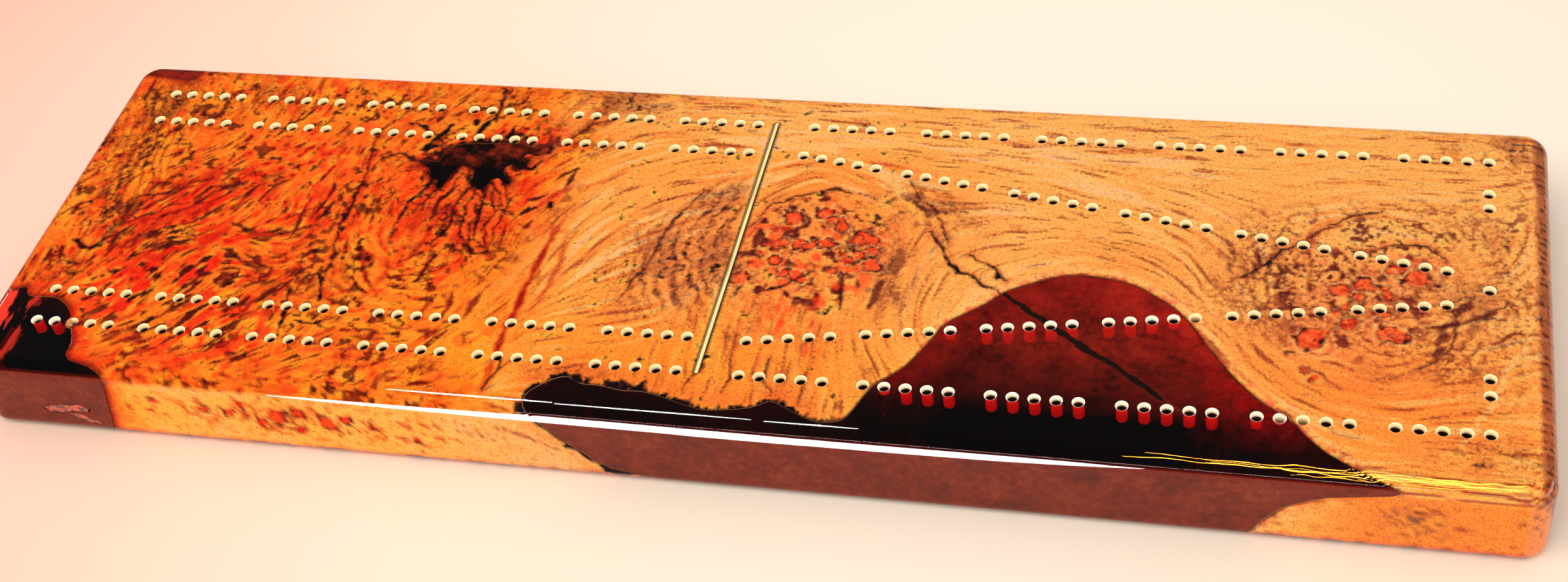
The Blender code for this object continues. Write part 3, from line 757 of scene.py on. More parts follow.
def hole_depths():
    """Depth of each hole, shortened before it meets a pour's buried face."""
    faces = [[pour.line(depth)[::6] for depth in LEVELS] for pour in POURS]
    depths = []
    for x, y in HOLES:
        limit = HOLE_DEPTH
        for lines in faces:
            if abs(lines[0][:, 0] - x).min() > 30 or abs(lines[0][:, 1] - y).min() > 40:
                continue
            for depth, line in zip(LEVELS, lines):
                if depth >= limit:
                    break
                if depth > 0 and np.hypot(line[:, 0] - x, line[:, 1] - y).min() < 2.1:
                    limit = max(2.6, depth - 0.6)
                    break
        depths.append(limit)
    return depths


def drill_holes():
    owner = {0: wood, 1: resins[0], 2: resins[1], 3: resins[2], 10: wood}
    for rim, (x, y), kind, depth in zip(rims, HOLES, hole_regions, hole_depths()):
        piece = owner[kind]
        bore = circle(x, y, HOLE_R)
        rings = [rim] + [add_level(bore, z) for z in (
            THICK - 0.27, THICK - 0.5 * depth, THICK - depth + 0.7)]
        tip = add_level([(x, y)], THICK - depth)[0]
        piece.pit(rings, tip, WOOD_BORE if piece is wood else RESIN_BORE)


def cut_knot():
    """The knot: a void in the slab, and its own filling."""
    knot.add(skin[skin_region == KNOT_REGION])
    middle = knot_loop.mean(0)
    for piece, top, loop, deep in ((wood, knot_wood, knot_void, 9.3),
                                   (knot, knot_resin, knot_loop, 9.0)):
        rings = [top] + [add_level(middle + (loop - middle) * share, z) for share, z in (
            (0.96, THICK - 3.6 * deep / 9), (0.88, THICK - 6.5 * deep / 9),
            (0.70, THICK - deep))]
        tip = add_level([middle], THICK - deep)[0]
        if piece is wood:
            piece.pit(rings, tip, WOOD_BARE)
        else:
            piece.pit(rings, tip, flip=True)


def cut_skunk_slot():
    floor_z = THICK - SKUNK_D - 0.3
    low = add_level(skunk_loop, floor_z)
    wood.strip(skunk_rim, low, WOOD_BORE)
    middle = add_level(slot_loop(0.02), floor_z)
    wood.strip(low, middle, WOOD_BORE)
    wood.add(level_face(middle, floor_z), WOOD_BORE)


def cut_chip_pockets():
    for rim in chip_rims:
        points = np.array([POOL[i] for i in rim])
        middle = points.mean(0)
        rings = [rim]
        for share, depth in ((1.0, 2.1), (0.62, 4.9)):
            ring = middle + (points - middle) * share
            ring[:, 1] = -WIDTH / 2 + depth
            rings.append(add_points(ring, pool_uv(rim)))
        tip = add_points([(middle[0], -WIDTH / 2 + 4.9, middle[2])], [pool_uv(rim).mean(0)])[0]
        resins[1].pit(rings, tip, RESIN_BOND)


def cut_peg_store():
    """The lip opening and entry pocket, the lid's groove and the cavity."""
    def wall(low, high):
        wood.strip(low, high, WOOD_STORE, closed=False, flip=True)

    corner = 14  # the opening's point where the lip's front edge ends
    lip_low = opening_rim[-1:] + opening_rim[:corner + 1]
    lip_high = add_level(np.vstack([opening[-1:], opening[:corner + 1]]), LIP_T)
    wall(lip_low, lip_high)
    pocket = add_level(opening[corner + 1:-1], GROOVE_TOP)
    wall(opening_rim[corner + 1:-1], pocket)
    closed_x = LID_X0 - LID_GAP
    groove = [(MEET_X, STORE_Y + GROOVE_HALF), (closed_x, STORE_Y + GROOVE_HALF),
              (closed_x, STORE_Y - GROOVE_HALF), (MEET_X, STORE_Y - GROOVE_HALF)]
    groove_low = add_level(groove, LIP_T)
    groove_end = add_level(groove[1:3], GROOVE_TOP)
    wall(groove_low, [pocket[-1]] + groove_end + [pocket[0]])
    # the step at the meeting edge, either side of the lip opening
    for low_a, low_b, high_a, high_b in (
            (opening_rim[corner], opening_rim[corner + 1], lip_high[-1], groove_low[-1]),
            (opening_rim[-2], opening_rim[-1], groove_low[0], lip_high[0])):
        wood.add([(low_a, low_b, high_b), (low_a, high_b, high_a)], WOOD_STORE, flip=True)
    # the pocket's end edges, where its walls pass the groove's floor
    wood.add([(opening_rim[corner + 1], pocket[0], groove_low[-1])], WOOD_STORE)
    wood.add([(opening_rim[-2], groove_low[0], pocket[-1])], WOOD_STORE)
    wood.add(level_face(groove_low + lip_high[::-1], LIP_T), WOOD_STORE)
    half = STORE_W / 2 - STORE_R
    right, left = STORE_X1 - STORE_R, STORE_X0 + STORE_R
    store = [point for k, (x, y) in enumerate((
        (right, STORE_Y + half), (left, STORE_Y + half),
        (left, STORE_Y - half), (right, STORE_Y - half)))
        for point in arc(x, y, STORE_R, k * QUARTER, 8)]
    store_low, store_high = add_level(store, GROOVE_TOP), add_level(store, STORE_TOP)
    wood.strip(store_low, store_high, WOOD_STORE, flip=True)
    ceiling = level_face(pocket + groove_end, GROOVE_TOP, hole=store_low)
    wood.add(ceiling, WOOD_STORE, flip=True)
    wood.add(level_face(store_high, STORE_TOP), WOOD_STORE, flip=True)


wood = Piece("burl_slab_fine")
resins = [Piece(pour.name + "_fine") for pour in POURS]
knot = Piece("knot_fill_fine")
sheathe()
drill_holes()
cut_knot()
cut_skunk_slot()
cut_chip_pockets()
cut_peg_store()

# ================================================================ paint sheet
# The wood's colour is painted on a raster of the unrolled plane, one layer
# over another, and read off at the vertices.
SHEET_CELL = 0.4
SHEET_LOW = (-276.4, -102.4)
SHEET_NX, SHEET_NY = 1382, 512
COARSE = 10  # cells to a step of the grain map
sheet_x = SHEET_LOW[0] + (np.arange(SHEET_NX) + 0.5) * SHEET_CELL
sheet_y = SHEET_LOW[1] + (np.arange(SHEET_NY) + 0.5) * SHEET_CELL
SHEET_X, SHEET_Y = np.meshgrid(sheet_x.astype(np.float32), sheet_y.astype(np.float32))


def noise(cell, seed):
    """Smooth value noise over the sheet, -1 to 1, on cells of a size in mm."""
    generator = np.random.default_rng(seed)
    count_x = int(SHEET_NX * SHEET_CELL / cell) + 4
    count_y = int(SHEET_NY * SHEET_CELL / cell) + 4
    grid = generator.random((count_y, count_x)).astype(np.float32) * 2 - 1
    x, y = np.arange(SHEET_NX) * SHEET_CELL / cell, np.arange(SHEET_NY) * SHEET_CELL / cell
    ix, iy = x.astype(int), y.astype(int)
    part_x, part_y = x - ix, y - iy
    part_x, part_y = (t * t * (3 - 2 * t) for t in (part_x, part_y))
    low, high = (grid[j][:, ix] * (1 - part_x) + grid[j][:, ix + 1] * part_x
                 for j in (iy, iy + 1))
    return (low * (1 - part_y)[:, None] + high * part_y[:, None]).astype(np.float32)


def fractal(cell, octaves, seed):
    """Octaves of noise, each at half the cell and half the weight."""
    total, weight, norm = 0, 1.0, 0
    for octave in range(octaves):
        total = total + noise(cell / 2 ** octave, seed * 31 + octave) * weight
        norm += weight
        weight *= 0.5
    return total / norm


def bilinear(field, x, y):
    """Samples a field at fractional indices."""
    x = np.clip(x, 0, field.shape[1] - 1.001)
    y = np.clip(y, 0, field.shape[0] - 1.001)
    ix, iy = x.astype(int), y.astype(int)
    part_x, part_y = x - ix, y - iy
    if field.ndim == 3:
        part_x, part_y = part_x[:, None], part_y[:, None]
    return (field[iy, ix] * (1 - part_x) * (1 - part_y)
            + field[iy, ix + 1] * part_x * (1 - part_y)
            + field[iy + 1, ix] * (1 - part_x) * part_y
            + field[iy + 1, ix + 1] * part_x * part_y)


# x y degrees: grain direction as it runs round the knots and the live edge
GRAIN = rows("""
    -224 39 64, -200 20 35, -204 -10 36, -199 -60 35, -217 -28 73, -176 -31 67,
    -190 54 78, -152 7 71, -137 9 90, -121 -21 121, -158 -20 159, -230 -23 73,
    -209 55 94, -148 -22 35, -221 14 56, -167 -47 39, -164 10 45, -62 -15 56,
    -55 7 60, -48 17 44, -35 25 25, -20 30 11, -31 65 2, -63 35 34, -42 -37 17,
    -28 -43 11, -24 2 37, -19 -52 100, -89 1 104, -114 10 76, -100 -18 65,
    -119 45 54, -66 -18 70, -64 -4 82, -36 -11 27, -86 -68 4, -77 48 81,
    -106 -21 2, 82 61 0, 91 28 167, 117 22 165, 92 -8 30, 124 -7 152, 46 0 90,
    61 -9 76, 54 -36 127, 35 -18 87, 6 19 45, 32 25 151, 75 5 26, 102 9 3,
    40 -29 88, 130 64 0, 146 26 174, 130 21 151, 146 9 122, 156 10 111,
    168 10 93, 185 21 23, 200 23 172, 212 16 127, 228 9 18, 218 -21 27,
    160 -41 138, 181 -49 179, 210 -46 11, 173 -37 140, 150 -32 126, 170 -53 138,
    236 17 82, 214 47 2, 221 -59 171, 0 62 0, 40 62 178, 180 62 2, -120 -62 20,
    -150 -68 10, -80 -60 70, 10 -58 95, 25 -50 88, -5 -40 92, 60 45 172,
    0 -88 165, -60 -88 160, -120 -86 170, -170 -86 160, 190 -88 15, 225 -86 5""")
# x y radius of the burl eyes
EYES = rows("""
    13 14.2 3.1, 22.6 17.7 3.2, 25.6 14 2.5, 29.1 11.7 2.6, 37.2 6.6 4.4,
    39.4 1.2 3.4, 41.4 -4.1 2.7, 36.3 -0.4 2.2, 33.3 -2.6 2.1, 24.2 4 2.3,
    16.9 3.7 2.3, 20.6 2.2 1.6, 12.3 3.3 2.4, 7.9 9 1.3, 10.9 -4.4 2.4,
    2.4 -12.8 3.2, 19.1 -10.8 3.4, 14.4 -10 1.9, 29.4 -7.8 1.7, 5.7 -2 1.6,
    188.5 1.3 3.8, 182.8 -1.2 2.7, 187.6 -3.4 2.2, 197.6 8.1 3, 204.3 5.3 3.8,
    195.8 -2.9 2.1, 194.7 -10.3 2, 197.2 -18.1 4, 174.1 -21.9 4.8,
    184.7 -15.1 2.3, 181.8 -11.1 1.8, 173.4 -34.1 1.7, 176.5 -36.5 1.5,
    183.7 -8.5 1.6, -151 -84 2, -146 -80 1.8, -135 -84 3.6, -127 -82 2.8,
    -118 -86 3.4, -112 -83 2.2, -141 -88 2.2, -128 -90 2.2, -104 -86 1.8,
    -160 -84 1.8, -90 -90 1.6, -176 -82 1.6""")


def grain_direction():
    """Unit vectors along the grain. Angles are blended through the sine and
    cosine of twice the angle, since grain has no sign."""
    x, y = np.meshgrid(sheet_x[::COARSE], sheet_y[::COARSE])
    cosine, sine = np.zeros_like(x), np.zeros_like(x)
    for at_x, at_y, degrees in GRAIN:
        square = (x - at_x) ** 2 + (y - at_y) ** 2
        weight = np.exp(-square / (2 * 11.0 ** 2)) + 1e-4 * np.exp(-square / (2 * 40.0 ** 2))
        cosine += weight * math.cos(2 * math.radians(degrees))
        sine += weight * math.sin(2 * math.radians(degrees))
    cosine += 2e-5  # a mild pull along the board where nothing is near
    wild = fractal(22, 3, 91)[::COARSE, ::COARSE] * 0.95
    angle = 0.5 * np.arctan2(sine, cosine) + wild * (smooth(-x, 60, 100) * 0.95 + 0.12)
    cosine, sine = (
        bilinear(field, np.arange(SHEET_NX) / COARSE, np.arange(SHEET_NY)[:, None] / COARSE)
        for field in (np.cos(2 * angle), np.sin(2 * angle)))
    angle = 0.5 * np.arctan2(sine, cosine) + fractal(9, 2, 17) * 0.20
    cosine, sine = np.cos(2 * angle), np.sin(2 * angle)
    for at_x, at_y, radius in EYES:  # the grain wraps the eyes
        dx, dy = SHEET_X - at_x, SHEET_Y - at_y
        weight = np.exp(-(dx ** 2 + dy ** 2) / (2 * (1.5 * radius) ** 2)) * 3
        around = np.arctan2(dy, dx) + math.pi / 2
        cosine = cosine + weight * np.cos(2 * around)
        sine = sine + weight * np.sin(2 * around)
    angle = 0.5 * np.arctan2(sine, cosine)
    return np.cos(angle).astype(np.float32).ravel(), np.sin(angle).astype(np.float32).ravel()


GRAIN_X, GRAIN_Y = grain_direction()


def streak(fields, steps):
    """Smears noise fields along the grain, each by its number of steps."""
    stride = 0.5 / SHEET_CELL
    fields = [field.ravel() for field in fields]
    sums = [field.copy() for field in fields]
    weights = [1.0] * len(fields)
    for sign in (1.0, -1.0):
        x = ((SHEET_X - SHEET_LOW[0]) / SHEET_CELL).ravel().astype(np.float32)
        y = ((SHEET_Y - SHEET_LOW[1]) / SHEET_CELL).ravel().astype(np.float32)
        move_x, move_y = GRAIN_X * sign, GRAIN_Y * sign
        for k in range(max(steps)):
            x += move_x * stride
            y += move_y * stride
            np.clip(x, 0, SHEET_NX - 1, out=x)
            np.clip(y, 0, SHEET_NY - 1, out=y)
            index = y.astype(np.int32) * SHEET_NX + x.astype(np.int32)
            next_x, next_y = GRAIN_X[index], GRAIN_Y[index]
            back = next_x * move_x + next_y * move_y < 0
            flip = np.where(back, np.float32(-1), np.float32(1))
            move_x, move_y = next_x * flip, next_y * flip
            for n, field in enumerate(fields):
                if k < steps[n]:
                    weight = 1.0 - k / steps[n]
                    sums[n] += field[index] * weight
                    weights[n] += weight
    result = []
    for total, weight in zip(sums, weights):
        mean = (total / weight).reshape(SHEET_NY, SHEET_NX)
        result.append(((mean - mean.mean()) / (mean.std() + 1e-6)).astype(np.float32))
    return result


FINE, MEDIUM, WIDE, FIGURE = streak(
    [noise(0.55, 1), noise(1.5, 2), noise(4.2, 3), noise(2.2, 4)],
    [14, 30, 44, 12])
# 1 on the left, where the burl is broken into short pieces
LEFT = smooth(-SHEET_X + WIDE * 6, 52, 92)
short_fine, short_medium = streak([noise(1.0, 7), noise(2.0, 8)], [5, 7])
MEDIUM = MEDIUM * (1 - 0.72 * LEFT) + short_medium * 0.72 * LEFT
FINE = FINE * (1 - 0.45 * LEFT) + short_fine * 0.45 * LEFT
# 1 on the long front side
FRONT = smooth(-SHEET_Y, FLAT_Y + 4.5, FLAT_Y + 8)
SIDE_CALM = 1 - 0.88 * FRONT
# 1 at the front side's foot, its bottom roundover, which is darkened as painted shade
FOOT_SHADE = smooth(-SHEET_Y, FLAT_Y + ARC_TOP + ARC_WALL - 1.0, FLAT_Y + ARC_TOP + ARC_WALL + 2.0)
WOBBLE_X, WOBBLE_Y = fractal(4.0, 3, 27) * 1.6, fractal(4.0, 3, 28) * 1.6


def srgb(red, green, blue):
    return np.array([red, green, blue], np.float32) / 255.0


PAINT = np.ones((SHEET_NY, SHEET_NX, 3), np.float32) * srgb(246, 148, 58)


def lay(colour, share):
    """Lays an sRGB colour over the paint, by a share for each cell."""
    share = np.clip(share, 0, 1)[..., None]
    PAINT[:] = PAINT * (1 - share) + srgb(*colour) * share


def fade(dist, width):
    return np.exp(-(dist / width) ** 2)


def blob(x, y, half_length, half_width=None, degrees=0.0):
    half_width = half_width or half_length
    cosine, sine = math.cos(math.radians(degrees)), math.sin(math.radians(degrees))
    dx, dy = SHEET_X - x, SHEET_Y - y
    long = (dx * cosine + dy * sine) / half_length
    short = (-dx * sine + dy * cosine) / half_width
    return np.exp(-(long * long + short * short))


def patches(table):
    """Greatest of many blobs; the last column is their strength."""
    field = np.zeros((SHEET_NY, SHEET_NX), np.float32)
    for *shape, strength in table:
        field = np.maximum(field, blob(*shape) * strength)
    return field


def line_distance(points, reach, grid=(SHEET_X, SHEET_Y)):
    """Distance to a polyline, with the share of its length at the nearest
    point; cells out of reach stay at a large value."""
    dist = np.full((SHEET_NY, SHEET_NX), 1e3, np.float32)
    part = np.zeros((SHEET_NY, SHEET_NX), np.float32)
    points = np.array(points, float)
    lengths = np.hypot(*np.diff(points, axis=0).T)
    run = np.concatenate([[0], np.cumsum(lengths)]) / max(lengths.sum(), 1e-9)
    for k, (start, end) in enumerate(zip(points, points[1:])):
        low = (np.minimum(start, end) - reach - SHEET_LOW) / SHEET_CELL
        high = (np.maximum(start, end) + reach - SHEET_LOW) / SHEET_CELL
        x0, y0 = np.maximum(low.astype(int), 0)
        x1, y1 = np.minimum(high.astype(int) + 1, (SHEET_NX, SHEET_NY))
        if x1 <= x0 or y1 <= y0:
            continue
        window = np.s_[y0:y1, x0:x1]
        dx, dy = grid[0][window] - start[0], grid[1][window] - start[1]
        way = end - start
        t = np.clip((dx * way[0] + dy * way[1]) / max(way @ way, 1e-9), 0, 1)
        here = np.hypot(dx - t * way[0], dy - t * way[1])
        nearer = here < dist[window]
        dist[window][nearer] = here[nearer]
        part[window][nearer] = (run[k] + t * (run[k + 1] - run[k]))[nearer]
    return dist, part


# ================================================================ paint layers
# Throughout: smooth(value, from, to), fractal(cell mm, octaves, seed),
# blob(x, y, half length, half width, degrees).
def paint_ground():
    """Orange burl on the left, straw gold on the right."""
    lay((249, 166, 80), smooth(SHEET_X, 20, 90) * 0.95)
    lay((240, 124, 34), LEFT * 0.95)
    lay((250, 176, 92), blob(20, 60, 120, 14) * 0.6 + blob(-40, 20, 40, 22, 40) * 0.25)
    lay((246, 132, 40), blob(-20, -50, 60, 16) * 0.7)
    lay((246, 128, 48), (blob(190, -45, 60, 30) + blob(120, 5, 30, 10) * 0.5) * 0.75)
    glow = blob(-150, -45, 50, 10) + blob(-60, -50, 40, 16) + blob(-225, 25, 12, 30)
    lay((255, 176, 56), glow * LEFT * 0.45)


def paint_grain():
    """Light and dark grain, hair lines and pale ripples."""
    tone = 0.45 * FINE + 0.55 * MEDIUM + 0.35 * WIDE
    lay((255, 206, 122), smooth(tone, 0.2, 2.0) * (0.50 - 0.10 * LEFT))
    lay((206, 92, 34),
        smooth(-tone, 0.2, 2.2) * (0.42 + 0.25 * LEFT) * (0.55 + 0.45 * LEFT))
    lay((150, 52, 18), smooth(-MEDIUM - 0.6 * FINE, 0.9, 2.4) * (0.18 + 0.34 * LEFT))
    hair = smooth(np.abs(WIDE + 0.25 * MEDIUM), 0.0, 0.10)
    lay((150, 62, 26),
        (1 - hair) * (0.22 + 0.10 * LEFT) * smooth(fractal(16, 2, 61), -0.2, 0.4))
    middle = blob(-42, 5, 30, 46, -20) + blob(60, 40, 80, 22)
    lay((255, 205, 120), smooth(WIDE + 0.5 * MEDIUM, 0.4, 1.7) * middle * 0.70)


# x y half-length half-width degrees strength of the red flames
RED = rows("""
    -206 1 26 9 40 1, -180 14 22 9 45 1, -145 8 24 13 20 0.9, -176 -23 16 8 60 0.7,
    -168 30 22 12 15 0.8, -106 9 16 11 30 0.9, -88 2 12 12 60 0.8,
    -81 20 12 16 70 0.9, -150 30 20 12 0 0.7, -128 22 12 12 0 0.7,
    -200 -34 18 6 40 0.7, -222 -14 14 6 60 0.6, -86 46 14 8 0 0.8,
    -165 -62 22 5 10 0.5, 18 -27 10 7 90 0.85, 29 -40 9 6 90 0.75,
    24 -34 9 8 0 0.6, 40 6 9 10 0 0.8, 14 10 14 10 0 0.4, 26 12 16 12 0 0.35,
    188 2 11 9 0 0.45, 176 -20 9 9 0 0.5, 200 10 11 8 0 0.5""")


def paint_burl():
    """Mottles, red flame and dark flecks."""
    mottle = fractal(5.0, 3, 5)
    burl = np.clip(LEFT * (0.75 + 0.5 * fractal(18, 2, 6)), 0, 1)
    lay((252, 166, 58), smooth(mottle + 0.25 * FIGURE, 0.12, 0.5) * burl * 0.60)
    lay((206, 62, 18), smooth(-mottle + 0.25 * FIGURE, 0.06, 0.45) * burl * 0.60)
    smudge = smooth(0.9 * MEDIUM + 0.5 * FIGURE + 2.2 * fractal(8, 3, 62), 0.9, 2.2)
    lay((112, 44, 16), smudge * burl * 0.42)
    red = patches(RED)
    broken = smooth(0.7 * MEDIUM + 0.6 * fractal(3.2, 3, 8) * 2 + 0.3 * FINE, -0.9, 1.2)
    lay((232, 58, 20), red * broken * 0.88)
    lay((126, 14, 8), red * smooth(MEDIUM + 1.5 * fractal(2.4, 2, 9), 0.8, 2.2) * 0.85)
    lay((250, 104, 36), red * smooth(-MEDIUM + 1.5 * fractal(2.8, 2, 10), 0.8, 2.2) * 0.5)

    fleck = FIGURE * 0.8 + fractal(1.5, 2, 11) * 1.6 + fractal(14, 2, 12) * 1.2
    lay((46, 14, 6), smooth(fleck, 1.9, 2.4) * (burl * 0.75 + 0.02))
    fleck = MEDIUM * 0.9 + FINE * 0.5 + fractal(2.6, 2, 63) * 1.2 + fractal(11, 2, 64) * 1.3
    lay((58, 20, 8), smooth(fleck, 2.1, 2.8) * (burl * 0.75 + 0.03))
    fleck = FINE * 0.8 + MEDIUM * 0.7 + fractal(9, 2, 13) * 1.6
    lay((92, 34, 14), smooth(fleck, 2.2, 3.1) * (0.30 + burl * 0.5))


# x y half-length half-width degrees strength of the spalted patches
SPALT = rows("""
    -219 51 26 14 20 0.95, -196 60 22 8 0 0.7, -60 66 24 8 0 1, -7 -2 12 20 20 0.85,
    -22 -8 16 16 40 0.75, -12 22 12 8 40 0.6, 58 20 14 8 -30 0.75,
    48 -8 7 20 10 0.6, 165 -2 14 12 60 0.75, 158 12 10 14 30 0.55,
    226 -6 12 20 80 0.75, 212 -24 12 12 30 0.8, 225 -61 16 6 0 0.7,
    228 62 16 8 0 0.95, -232 30 8 24 0 0.6, -120 60 30 8 0 0.35,
    52 -52 8 14 20 0.35, 0 -34 9 12 90 0.5, -30 -20 14 10 60 0.5,
    225 18 10 12 0 0.5, 210 -90 9 10 0 1, 196 -30 8 10 0 0.4, -40 -56 16 5 0 0.5,
    -180 -44 14 8 30 0.4, -140 -30 10 14 80 0.4, -225 -30 10 8 40 0.4""")


def paint_spalting():
    """Smoky patches with thin dark lines."""
    spalt = patches(SPALT)
    cloud = smooth(fractal(7, 3, 14) + 0.25 * WIDE, -0.25, 0.35)
    lay((134, 76, 34), spalt * cloud * 0.68)
    speck = smooth(fractal(0.9, 2, 15) + 0.35 * FINE, 0.25, 0.75)
    lay((52, 26, 12), spalt * speck * cloud * 0.88)
    wander = fractal(8, 3, 16) + 0.12 * WIDE
    lay((58, 26, 12), (1 - smooth(np.abs(wander), 0.0, 0.035)) * spalt * 0.8)
    wander = fractal(5, 3, 18) + 0.16 * WIDE
    lay((70, 30, 14), (1 - smooth(np.abs(wander - 0.1), 0.0, 0.04)) * spalt * 0.7)


def paint_clusters():
    """Figure rings round the two eye clusters, their ground and specks."""
    for x, y, radius in ((20.3, 0.3, 27), (188, -3, 26)):
        dist = np.hypot(SHEET_X - x, SHEET_Y - y) + 2.5 * fractal(9, 2, 19)
        ring = 0.5 + 0.5 * np.sin(dist * 1.55 + WIDE * 0.7)
        band = smooth(dist, radius * 0.8, radius * 1.1)
        band = band * (1 - smooth(dist, radius * 1.2, radius * 2.1))
        lay((196, 104, 46), ring * band * 0.22)
    dist = np.hypot(SHEET_X - 20.3, (SHEET_Y - 0.3) / 1.05)
    cluster = 1 - smooth(dist + 3 * fractal(8, 2, 21), 20, 27)
    lay((244, 130, 54), cluster * 0.55)
    lay((104, 36, 14), cluster * smooth(fractal(3.0, 3, 22) + 0.12 * FIGURE, 0.08, 0.34) * 0.92)
    lay((236, 72, 26), cluster * smooth(fractal(4.0, 2, 65), 0.1, 0.45) * 0.60)
    dist = np.hypot(SHEET_X - 186, SHEET_Y + 4)
    cluster = 1 - smooth(dist + 3 * fractal(8, 2, 23), 18, 27)
    lay((224, 116, 56), cluster * 0.35)
    lay((112, 42, 20), cluster * smooth(fractal(2.8, 3, 24), 0.04, 0.30) * 0.85)
    specks = smooth(fractal(1.1, 3, 96) + 0.35 * fractal(7, 2, 97) + 0.08 * FINE, 0.16, 0.34)
    zone = np.clip(blob(190, 22, 34, 12, 8) + 0.9 * blob(176, 2, 30, 18, 20)
                   + 0.8 * blob(232, 5, 5, 40) + 0.6 * blob(214, -26, 14, 10), 0, 1)
    lay((96, 36, 18), specks * zone * 0.75)


def paint_front():
    """Paler wood on the front side, painted lighter as light falling from the front, with burl
    on its left.
    """
    front_painted_light = FRONT * smooth(SHEET_X, -215, -170)
    # painted light: the front side is paled where light falls on it
    lay((255, 188, 104), front_painted_light * 0.98)
    lay((255, 206, 124), front_painted_light * smooth(fractal(7, 3, 101), -0.2, 0.5) * 0.6)
    burl = blob(-130, -85, 34, 9) + 0.6 * blob(-190, -86, 30, 8) + 0.5 * blob(-80, -86, 26, 8)
    lay((236, 130, 60), burl * 0.5)
    lay((150, 70, 34), burl * smooth(fractal(2.0, 3, 25), 0.12, 0.40) * 0.8)


def paint_eyes():
    """Red cores with curls, a dark rim and pale and brown rings outside."""
    curl = 1 - smooth(np.abs(fractal(2.2, 3, 81) + 0.05 * FIGURE), 0.02, 0.10)
    inner = fractal(1.5, 2, 82)
    for n, (x, y, radius) in enumerate(EYES):
        calm = 0.64 if x > 150 else 1.0
        wobble = 1 + 0.42 * noise(3.2, 300 + n % 5) + 0.30 * noise(1.5, 320 + n % 3)
        turn = 0.8 * math.sin(n * 2.3)
        squeeze = 1.15 + 0.3 * math.sin(n * 1.7)
        dx, dy = SHEET_X - x, SHEET_Y - y
        dist = np.hypot(dx * math.cos(turn) + dy * math.sin(turn),
                        (-dx * math.sin(turn) + dy * math.cos(turn)) * squeeze)
        dist = dist * wobble / radius
        core = 1 - smooth(dist, 0.70, 0.95)
        lay((238, 76, 28), core * 0.92 * calm)
        lay((250, 124, 54), core * smooth(inner, 0.1, 0.5) * 0.45)
        lay((150, 30, 12), core * curl * 0.80)
        broken = smooth(noise(2.0, 330 + n % 4), -0.7, 0.2)
        lay((70, 18, 8), fade(dist - 0.97, 0.19) * broken * (0.5 + 0.5 * calm))
        lay((250, 176, 96), fade(dist - 1.25, 0.16) * 0.40)
        lay((140, 64, 30), fade(dist - 1.52, 0.16) * 0.55 * broken)


# x y along each red-brown streak, width, strength
STREAKS = [
    ("-62.5 10, -64.7 -7.4, -66.1 -31.2, -66.7 -44.8, -66.1 -67", 1.15, 0.95),
    ("-60 2, -58 -14, -61 -34", 1.2, 0.5),
    ("-82 -30, -90 -46, -96 -58", 1.1, 0.4),
    ("-120 -8, -114 -20, -118 -34", 1.2, 0.4),
    ("-108 12, -112 0, -110 -10", 1.6, 0.5),
    ("-94 12, -96 -4, -92 -14", 1.6, 0.55),
]
# x y along each crack or ink line, width, strength
CRACKS = [
    ("-139.7 43.1, -138.2 26.2, -137.4 13.6, -137.3 -1.3, -133.6 -20.1, -133.7 -29.7",
     0.42, 0.8),
    ("-18 25.2, -26.1 9.4, -30 -11.7, -35 -26.8", 0.34, 0.85),
    ("-1.8 8.1, 4.5 19.3, 11.9 24.8, 23 28.4, 29.9 27.5, 37.1 24.9", 0.30, 0.8),
    ("46.8 34.2, 50.7 27.6, 56.1 23.2, 58.4 18, 63.2 7.5", 0.32, 0.85),
    ("56.7 12.2, 61.2 5.7, 64 3, 66.4 -2.8, 71.7 -5.7, 79.7 -10.6, 83.2 -13.4", 0.55, 1.0),
    ("70.4 3, 76.4 0.3, 80.3 -3.9, 83.9 -7.8", 0.5, 0.95),
    ("151.9 0.5, 157.4 4.7, 162.1 9.6, 168.1 15.8, 171.6 18.3, 176.4 23.4, 180.7 25.9",
     0.42, 0.9),
    ("177.9 26, 184.9 29.3, 192.8 32.3", 0.42, 0.9),
    ("193.8 18.7, 200.9 19.1, 207.4 17.9, 211.6 13.2", 0.35, 0.7),
    ("8.6 -19.4, 14.8 -15.4, 22.9 -8.2", 0.4, 0.8),
    ("-104 40, -104 47, -101 55, -101.4 62, -101.5 70.3", 0.75, 1.0),
    ("-112 38, -119 43, -124 47, -131 49", 0.6, 0.8),
    ("-121 30, -128 33, -134 31", 0.5, 0.7),
    ("-76 42, -70 47, -66 52, -60 55", 0.5, 0.75),
    ("-100 15, -103 8, -101 0, -104 -8", 0.5, 0.8),
    ("-92 18, -88 10, -90 3", 0.4, 0.7),
    ("-216 4, -205 8, -197 14, -190 16", 0.6, 0.6),
    ("-220 -10, -210 -6, -200 2, -192 4", 0.6, 0.6),
    ("-205 -24, -196 -18, -186 -14", 0.5, 0.5),
    ("-180 40, -172 46, -168 54", 0.4, 0.5),
    ("-158 -2, -150 4, -146 12", 0.4, 0.5),
    ("-66 -50, -64 -58, -66 -66", 0.5, 0.6),
    ("205 -30, 212 -24, 216 -14, 214 -6", 0.4, 0.5),
    ("6 -44, 8 -52, 7 -60", 0.4, 0.6),
    ("18 -46, 19 -54, 22 -60", 0.4, 0.6),
    ("-3 -44, -2 -52, -6 -60", 0.4, 0.5),
    ("30 -48, 31 -56, 30 -63", 0.4, 0.5),
]


